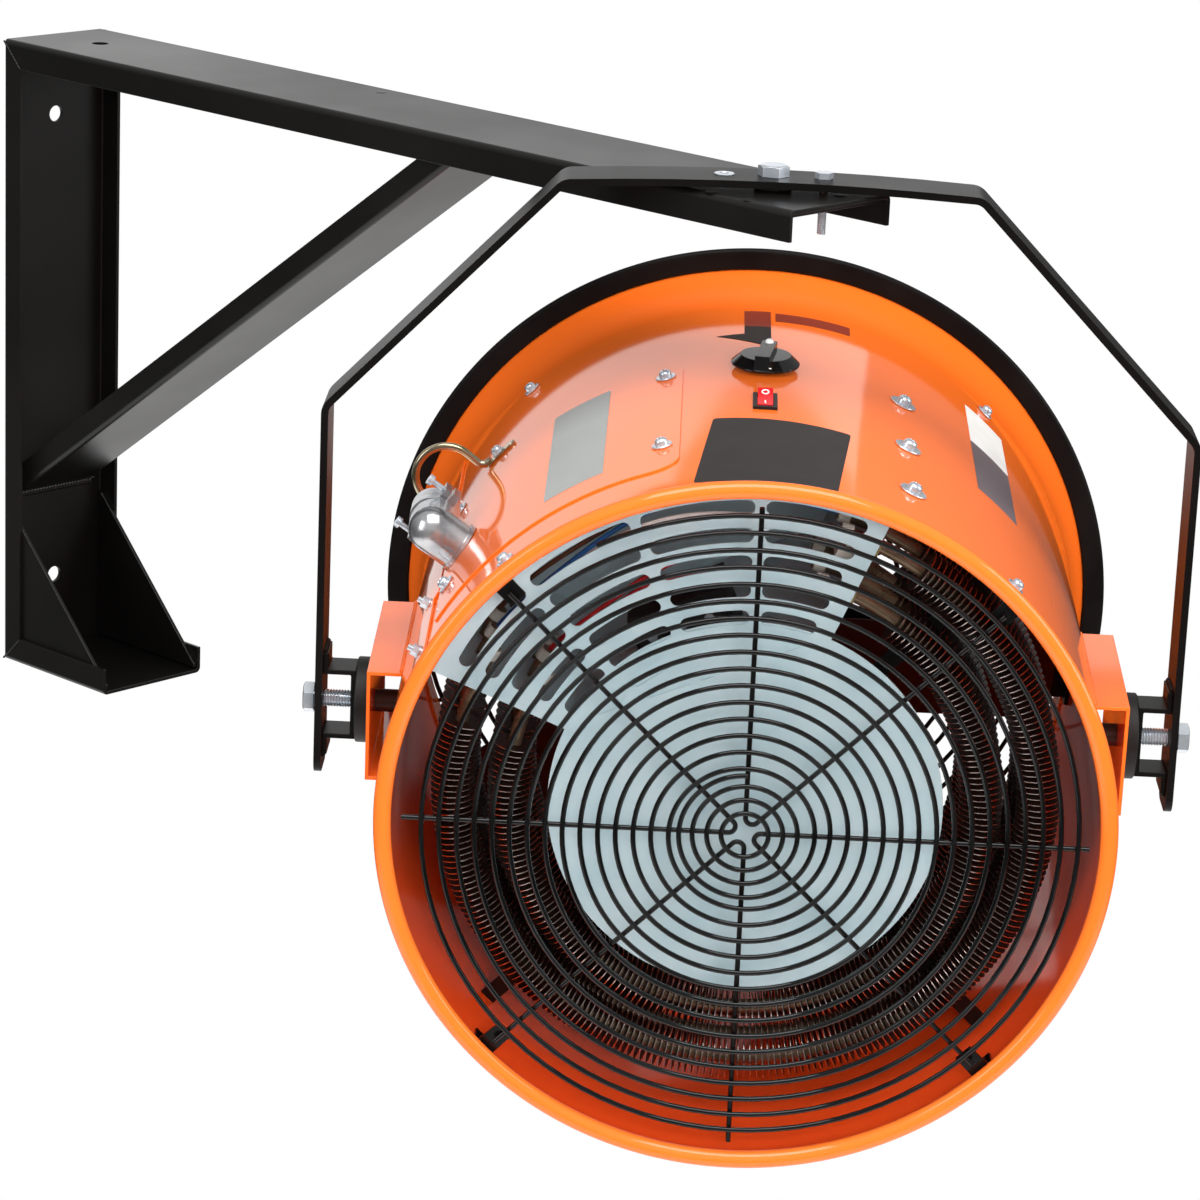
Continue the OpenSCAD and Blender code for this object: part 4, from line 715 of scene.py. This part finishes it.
fin_steel = finish("fin_steel", (0.016, 0.008, 0.006), 0.42, metallic=0.3,
                   other=(0.035, 0.014, 0.010), patch=90, spread=0.2, grain=900, specular=0.25)
# Bright metal for the fin rims: a painted highlight standing in for glints on the fin edges.
fin_rim = finish("fin_rim", (0.72, 0.44, 0.36), 0.30, metallic=1.0, other=(0.95, 0.90, 0.88),
                 patch=160, spread=0.2, grain=900)
pushed_on_fins = fin_tree()
fin_shape = fin_shapes("fin_shape", ROWS_A)
for loop, radius in LOOPS.items():
    bare = degrees(asin(PLAIN / radius))
    arc = radians(360 - BOX_SPAN - 2 * bare)
    count = int(arc * radius / FIN_PITCH)
    name = loop + "_fin_rows"
    fins = grown(name, pushed_on_fins, {
        "Loop radius": radius * MM, "Start angle": radians(BOX_END + bare), "Sweep": arc,
        "Count": float(count), "Fin": fin_shape, "Finish": fin_steel,
        "Rim finish": fin_rim}, bpy.data.meshes.new(name))
    settle(fins, None, "drum", "fin_steel", loop + "_fins")
    fins.data.transform(DRUM)
bpy.data.objects.remove(fin_shape)

# Element nuts and straps. Brass hexagon nuts where the elements pass through the box's walls, and
# three bent steel straps, painted black, that carry the loops and the centre baffle.
brass_nut = finish("brass_nut", (0.52, 0.40, 0.18), 0.35, metallic=1.0, patch=90, grain=1500)
broken_edges("element_nuts", 0.4, brass_nut, "drum", "brass_nut")
broken_edges("element_straps", 0.3, black_paint, "drum", "satin_black")

# Motor and fan, seen through the rear guard. The motor is painted black and bolted to a flat
# bar across the drum; the fan is stamped aluminium on its bright steel shaft.
motor_paint = finish("motor_paint", (0.012, 0.012, 0.014), 0.45, patch=12, grain=800, bump=0.1)
fan_sheet = finish("fan_aluminium", (0.10, 0.10, 0.105), 0.45, metallic=1.0, patch=14, grain=1200)
plain_steel = finish("bright_shaft", (0.58, 0.58, 0.60), 0.22, metallic=1.0, patch=60, grain=2000,
                     bump=0.04)
broken_edges("motor", 1.0, motor_paint, "drum", "motor_paint")
broken_edges("motor_bracket", 0.5, black_paint, "drum", "satin_black")
broken_edges("fan", 0.4, fan_sheet, "fan_rotor", "fan_aluminium")
broken_edges("motor_shaft", 0.5, plain_steel, "fan_rotor", "zinc")

# Access cover and seam. The cover is a curved sheet over the terminal box, screwed down, in the
# drum's enamel; beside it the drum's own wall laps at a seam.
for part in ("access_cover", "seam_strip"):
    broken_edges(part, 0.25, enamel, "drum", "orange_enamel")

# Screws. Zinc plated pan heads with a cross recess, each on a flat washer; the three in a row on
# the right of the box have the widest washers. Small hexagon bolts hold the seam.
WASHER_H, WASHER_ROUND = 1.2, 0.3
HEAD_DOME = ((1, 0), (1, 0.4), (0.93, 0.68), (0.78, 0.87), (0.6, 0.96), (0.5, 1), (0.36, 1), (0.22, 1),
             (0.1, 1))
CROSS_HALF, CROSS_DEPTH = 0.15, 0.55


def screw_shape(name, washer_r, head_r):
    """One screw standing on z = 0, for the tree to copy. Its head's forms are shares of its radius."""
    sides = 32
    profile = [(washer_r - WASHER_ROUND, 0), (washer_r, WASHER_ROUND),
               (washer_r, WASHER_H - WASHER_ROUND), (washer_r - WASHER_ROUND, WASHER_H)]
    profile += [(out * head_r, WASHER_H + up * head_r) for out, up in HEAD_DOME]
    bm = bmesh.new()
    rings = []
    for r, z in profile:
        ring = []
        for k in range(sides):
            x, y, _ = polar(r, 360 * k / sides)
            sunk = z > WASHER_H + 0.97 * head_r and min(abs(x), abs(y)) < CROSS_HALF * head_r
            ring.append(bm.verts.new((x, y, z - CROSS_DEPTH * head_r * sunk)))
        rings.append(ring)
    stacked(bm, rings)
    bmesh.ops.recalc_face_normals(bm, faces=bm.faces)
    return stand(name, bm, Matrix.Identity(4))


def screw_tree():
    """Copies of a screw on points, each standing along the point's outward direction."""
    tree, come = new_tree("seated_screws", {"Screw": "Object", "Finish": "Material"})
    outward = add_node(tree, "GeometryNodeInputNamedAttribute", {"Name": "outward"},
                       data_type="FLOAT_VECTOR").outputs["Attribute"]
    turn = add_node(tree, "FunctionNodeAlignRotationToVector", {"Vector": outward}, axis="Z").outputs[0]
    copies = copied(tree, come["Geometry"], come["Screw"], turn)
    add_node(tree, "NodeGroupOutput", {0: real_and_painted(tree, copies, come["Finish"])})
    return tree


seated_screws = screw_tree()


def screws_on_drum(name, places, lift, washer_r, head_r, *nodes):
    """Screws at (angle, distance along the axis) on the drum wall, lifted a little off it."""
    shape = screw_shape(name + "_one", washer_r, head_r)
    mesh = bpy.data.meshes.new(name)
    points, ways = [], []
    for th, a in places:
        points.append(tuple(DRUM @ (Vector(polar(DRUM_R + lift, th, a)) * MM)))
        ways += tuple(DRUM.to_3x3() @ Vector(polar(1, th)))
    mesh.from_pydata(points, [], [])
    mesh.attributes.new("outward", "FLOAT_VECTOR", "POINT").data.foreach_set("vector", ways)
    screws = grown(name, seated_screws, {"Screw": shape, "Finish": zinc}, mesh)
    settle(screws, zinc, "drum", "zinc", *nodes, smooth=32)
    bpy.data.objects.remove(shape)


row_places = [(65.9, a) for a in (-56.8, 41.2, 133.2)]
corner_places = [(th, a) for th in (46.9, 132.5, 227, 313) for a in (184.4, -186)]
cover_places = [(th, a) for th in (105.8, 147.8) for a in (-50.5, 101)]
screws_on_drum("row_screws", row_places, 0.25, 9.5, 5.0, "shell_screws")
screws_on_drum("corner_screws", corner_places, 0.25, 6.5, 4.2)
screws_on_drum("cover_screw_heads", cover_places, 1.5, 7.0, 4.4, "cover_screws")
screws_on_drum("hook_screw_head", [(138.2, -85)], 2.3, 5.0, 4.0, "hook_screw")
for part in ("seam_bolts", "connector_screws", "motor_screws"):
    broken_edges(part, 0.15, zinc, "drum", "zinc", segments=1)

# Labels. Their places are kept as bare panels of printed film, thin enough to follow the wall:
# one large and dark, one half white and half slate, one grey on the cover, and a small red one
# with an arrow.
FILM_T, FILM_STEP = 0.18, 1.5
ON_WALL, ON_COVER = DRUM_R + 0.05, DRUM_R + 1.35


def film(name, outline, r, look, slot):
    """A closed outline of (angle, distance along the axis) laid on a cylinder of radius r."""
    bm = bmesh.new()
    degree = radians(1) * r
    bm.faces.new([bm.verts.new((th * degree, a, 0)) for th, a in outline])
    low, high = min(p[0] for p in outline), max(p[0] for p in outline)
    for k in range(int(low / FILM_STEP) + 1, int(high / FILM_STEP) + 1):
        bmesh.ops.bisect_plane(bm, geom=bm.verts[:] + bm.edges[:] + bm.faces[:],
                               plane_co=(k * FILM_STEP * degree, 0, 0), plane_no=(1, 0, 0))
    for part in bmesh.ops.extrude_face_region(bm, geom=bm.faces[:])["geom"]:
        if isinstance(part, bmesh.types.BMVert):
            part.co.z += FILM_T
    for v in bm.verts:
        turn, reach = v.co.x / r, r + v.co.z
        v.co = (reach * cos(turn), reach * sin(turn), v.co.y)
    bmesh.ops.recalc_face_normals(bm, faces=bm.faces)
    if bm.calc_volume(signed=True) < 0:
        bmesh.ops.reverse_faces(bm, faces=bm.faces)
    settle(stand(name, bm, DRUM), look, "drum", slot, smooth=40)


def panel(th0, th1, a0, a1, corner=3.0):
    """A rectangle with round corners, as (angle, distance) points."""
    dth = degrees(corner / DRUM_R)
    points = []
    for th, a, turn in ((th1 - dth, a1 - corner, 0), (th0 + dth, a1 - corner, 90),
                        (th0 + dth, a0 + corner, 180), (th1 - dth, a0 + corner, 270)):
        for k in range(7):
            x, y, _ = polar(1, turn + 15 * k)
            points.append((th + dth * x, a + corner * y))
    return points


def film_of(name, colour, roughness, specular):
    """Printed film in one colour."""
    return finish(name, colour, roughness, patch=30, grain=900, bump=0.02, specular=specular)


film_black = film_of("film_black", (0.022, 0.018, 0.017), 0.45, 0.1)
film_white = film_of("film_white", (0.76, 0.74, 0.72), 0.35, 0.25)
film_slate = film_of("film_slate", (0.13, 0.100, 0.110), 0.40, 0.15)
film_grey = film_of("film_grey", (0.32, 0.33, 0.32), 0.45, 0.15)
film_red = film_of("film_red", (0.20, 0.024, 0.010), 0.35, 0.12)
askew = [(th + (a - 126) * 0.0215, a - (th - 88) * 0.3) for th, a in panel(77.3, 99.3, 58, 189)]
arrow_head = [(92.9, -159.8), (92.9, -141), (97.6, -136.5), (89.6, -114), (88.4, -119), (88.4, -159.8)]
film("dark_panel", askew, ON_WALL, film_black, "switch_plastic")
film("white_panel", panel(43, 52, -160, -77, 1.0), ON_WALL, film_white, "pale_plastic")
film("slate_panel", panel(43, 52, -76.8, 28, 1.0), ON_WALL, film_slate, "switch_plastic")
film("grey_panel", panel(115.4, 125.8, -61, 120, 1.5), ON_COVER, film_grey, "switch_plastic")
film("top_panel", panel(74.6, 87.6, -195, -175, 1.0), ON_WALL, film_red, "rocker_plastic")
film("arrow_tail", panel(88.4, 92.9, -198, -160, 0.6), ON_WALL, film_red, "rocker_plastic")
film("arrow_head", arrow_head, ON_WALL, film_black, "switch_plastic")

# Cable connector. A die-cast zinc elbow over the cable's hole in the cover, turned to the rear,
# with a saddle that two screws draw down on the cable.
die_cast = finish("die_cast", (0.34, 0.35, 0.37), 0.20, metallic=0.85, other=(0.66, 0.67, 0.69),
                  patch=55, grain=300, bump=0.35)
for part in ("cable_connector", "connector_clamp"):
    broken_edges(part, 0.8, die_cast, "drum", "die_cast", segments=3)

# Cord hook. A steel rod in yellow zinc, bent to a wide hook that the supply cord hangs on. A strap
# with one screw holds it on the drum wall.
HOOK_TH, HOOK_REACH, HOOK_A = 141.8, 241.1, -85
ROD_R, ROD_FOOT_R, ROD_RISE, HOOK_R, HOOK_TIP = 2.8, 6, 18, 22.3, 10
STRAP_END, STRAP_HALF, STRAP_LOW, STRAP_T = 24, 5, 0.1, 2
yellow_zinc = finish("yellow_zinc", (0.50, 0.43, 0.22), 0.20, metallic=1.0, other=(0.66, 0.56, 0.42),
                     patch=60, grain=1500, bump=0.02)


def on_drum(th, reach, a):
    """A place on the drum whose x axis points outwards."""
    return DRUM @ Matrix.Rotation(radians(th), 4, "Z") @ Matrix.Translation((reach * MM, 0, a * MM))


HOOK = on_drum(HOOK_TH, HOOK_REACH, HOOK_A)
rod = [(2.4, -8)] + bow((8.4, -ROD_FOOT_R), ROD_FOOT_R, 180, 90, 8) + [(13, 0)]
rod += bow((ROD_RISE, HOOK_R), HOOK_R, -90, 90, 40) + [(ROD_RISE - HOOK_TIP, 2 * HOOK_R)]
wires_along("hook_rod", [([(x, y, 0) for x, y in rod], False)], ROD_R, yellow_zinc, "drum",
            "yellow_zinc", "cord_hook", place=HOOK)
strap = bmesh.new()
edge = [(STRAP_END, STRAP_HALF), (6, STRAP_HALF), (3, 3.4)]
edge += [(y, -z) for y, z in reversed(edge)] + bow((STRAP_END, 0), STRAP_HALF, -70, 70, 7)
stacked(strap, [[strap.verts.new((x - y * y / (2 * DRUM_R), -y, z)) for y, z in edge]
                for x in (STRAP_LOW, STRAP_LOW + STRAP_T)])
bmesh.ops.recalc_face_normals(strap, faces=strap.faces)
settle(soften(stand("hook_strap", strap, HOOK), 0.4), yellow_zinc, "drum", "yellow_zinc", smooth=0)

# Switchgear inside the box. A thermostat and a limit switch in pale moulded plastic, and a
# contactor in black.
pale_plastic = finish("pale_plastic", (0.60, 0.56, 0.50), 0.45, patch=30, grain=900, specular=0.3)
switch_plastic = finish("switch_plastic", (0.010, 0.008, 0.008), 0.40, patch=30, grain=900,
                        bump=0.02, specular=0.2)
for part in ("thermostat_body", "limit_switch"):
    broken_edges(part, 0.5, pale_plastic, "drum", "pale_plastic")
broken_edges("contactor", 0.6, switch_plastic, "drum", "switch_plastic")

# Leads. Insulated wires in four colours between the ends of the elements. Each end has a ceramic
# collar, and six terminal screws stand on the contactor.
LEAD_R, LEAD_STEPS = 1.7, 60
COLLAR_R, COLLAR_END = 6.2, 9
BOX_MID, BOX_FLOOR_R, CONTACTOR_TOP = 112.5, 91.2, 125.6


def lead(name, radius, a, sway, drop, look, *nodes):
    """An insulated lead between the two ends of an element, hanging a little off its arc."""
    inside = degrees(asin(TAIL / radius)) + 0.1
    low, high = BOX_END - BOX_SPAN + inside, BOX_END - inside
    run = []
    for i in range(LEAD_STEPS + 1):
        f = i / LEAD_STEPS
        bulge = sin(pi * f)
        reach = radius + sway * bulge * sin(5 * f + a)
        run.append(polar(reach, low + (high - low) * f, a + drop * bulge))
    wires_along(name, [(run, False)], LEAD_R, look, "drum", "wire_cover", *nodes)


lead_red = finish("lead_red", (0.45, 0.012, 0.016), 0.35, patch=50, grain=900)
lead_white = finish("lead_white", (0.66, 0.58, 0.55), 0.4, patch=50, grain=900)
lead_blue = finish("lead_blue", (0.02, 0.10, 0.30), 0.35, patch=50, grain=900)
lead_brown = finish("lead_brown", (0.10, 0.035, 0.018), 0.4, patch=50, grain=900)
inner, outer = LOOPS.values()
front_row, middle_row, rear_row = ROWS_A
lead("red_lead", inner, front_row, 5, 6, lead_red, "wires")
lead("white_lead", outer, front_row, 7, 8, lead_white)
lead("blue_lead", outer, middle_row, 8, 14, lead_blue)
lead("brown_lead", outer, rear_row, 8, 18, lead_brown)
lead("second_red_lead", inner, middle_row, 7, 16, lead_red)
collar_lines = []
for radius in LOOPS.values():
    inside = degrees(asin(TAIL / radius))
    for a in ROWS_A:
        for th, way in ((BOX_END - inside, 1), (BOX_END - BOX_SPAN + inside, -1)):
            tip = Vector(polar(radius, th, a))
            along = Vector(polar(way, th + 90))
            collar_lines.append(([tip + along, tip + along * COLLAR_END], False))
wires_along("ceramic_collars", collar_lines, COLLAR_R, pale_plastic, "drum", "pale_plastic")
terminals = bmesh.new()
box_turn = Matrix.Rotation(radians(BOX_MID), 4, "Z")
for dx in (12, 34):
    for dy in (-20, 0, 20):
        spot = box_turn @ Matrix.Translation((BOX_FLOOR_R + dx, dy, CONTACTOR_TOP))
        bmesh.ops.create_cone(terminals, cap_ends=True, segments=20, radius1=3.6, radius2=3.4,
                              depth=1.4, matrix=spot)
settle(stand("terminal_screws", terminals, DRUM), zinc, "drum", "zinc")

# Controls. A skirted thermostat knob with a pointer bar, and a red rocker in a black bezel, all in
# moulded plastic. White marks stand on both: a pip and a tick, a circle and a bar.
KNOB_TH, KNOB_REACH, KNOB_A, KNOB_TURN = 89.5, 243.6, -61, -8
ROCKER_TH, ROCKER_REACH, ROCKER_A, ROCKER_REST = 89.6, 241.5, 20.5, -12
ROCKER_RISE, ROCKER_HALF, MARK_X, MARK_Z = 1.6, 11.5, 3.96, 6.8
knob_black = finish("knob_black", (0.003, 0.0028, 0.0028), 0.10, patch=30, spread=0.04, grain=900,
                    bump=0.02, specular=0.42)
rocker_red = finish("rocker_red", (0.62, 0.010, 0.014), 0.22, coat=0.4, coat_roughness=0.1, patch=30,
                    grain=900)
mark_white = finish("mark_white", (0.86, 0.86, 0.84), 0.4, patch=60, grain=900, bump=0.02)
broken_edges("rocker_bezel", 0.5, switch_plastic, "drum", "switch_plastic")
broken_edges("knob", 0.9, knob_black, "thermostat_knob", "knob_plastic", segments=3)
broken_edges("rocker", 0.5, rocker_red, "power_rocker", "rocker_plastic", segments=3)

KNOB = on_drum(KNOB_TH, KNOB_REACH, KNOB_A) @ Matrix.Rotation(radians(90), 4, "Y")
bar_turn = Matrix.Rotation(radians(KNOB_TURN), 4, "Z")
pip = bar_turn @ Matrix.Translation((15.5, 0, 11)) @ Matrix.Diagonal((3.1, 3.1, 2.6, 1))
on_skirt = Matrix.Translation((-21.6, -4, 3.4)) @ Matrix.Rotation(radians(-43), 4, "Y")
tick = bar_turn @ on_skirt @ Matrix.Diagonal((0.9, 5.5, 0.3, 1))
dots = bmesh.new()
bmesh.ops.create_uvsphere(dots, u_segments=28, v_segments=14, radius=1, matrix=pip)
bmesh.ops.create_cube(dots, size=1, matrix=tick)
settle(stand("knob_marks", dots, KNOB), mark_white, "thermostat_knob", "pale_plastic")

ROCKER = on_drum(ROCKER_TH, ROCKER_REACH, ROCKER_A) @ Matrix.Rotation(radians(ROCKER_REST), 4, "Y")
slope = degrees(atan2(ROCKER_RISE, ROCKER_HALF))
face_rear = Matrix.Translation((MARK_X, 0, -MARK_Z)) @ Matrix.Rotation(radians(90 - slope), 4, "Y")
face_front = Matrix.Translation((MARK_X, 0, MARK_Z)) @ Matrix.Rotation(radians(90 + slope), 4, "Y")
bar = face_front @ Matrix.Translation((0, 0, 0.1)) @ Matrix.Diagonal((4.6, 1.0, 0.24, 1))
marks = bmesh.new()
turned(marks, ((1.75, 0), (1.75, 0.22), (2.65, 0.22), (2.65, 0)), 32, face_rear)
bmesh.ops.create_cube(marks, size=1, matrix=bar)
bmesh.ops.recalc_face_normals(marks, faces=marks.faces)
settle(stand("rocker_marks", marks, ROCKER), mark_white, "power_rocker", "pale_plastic")
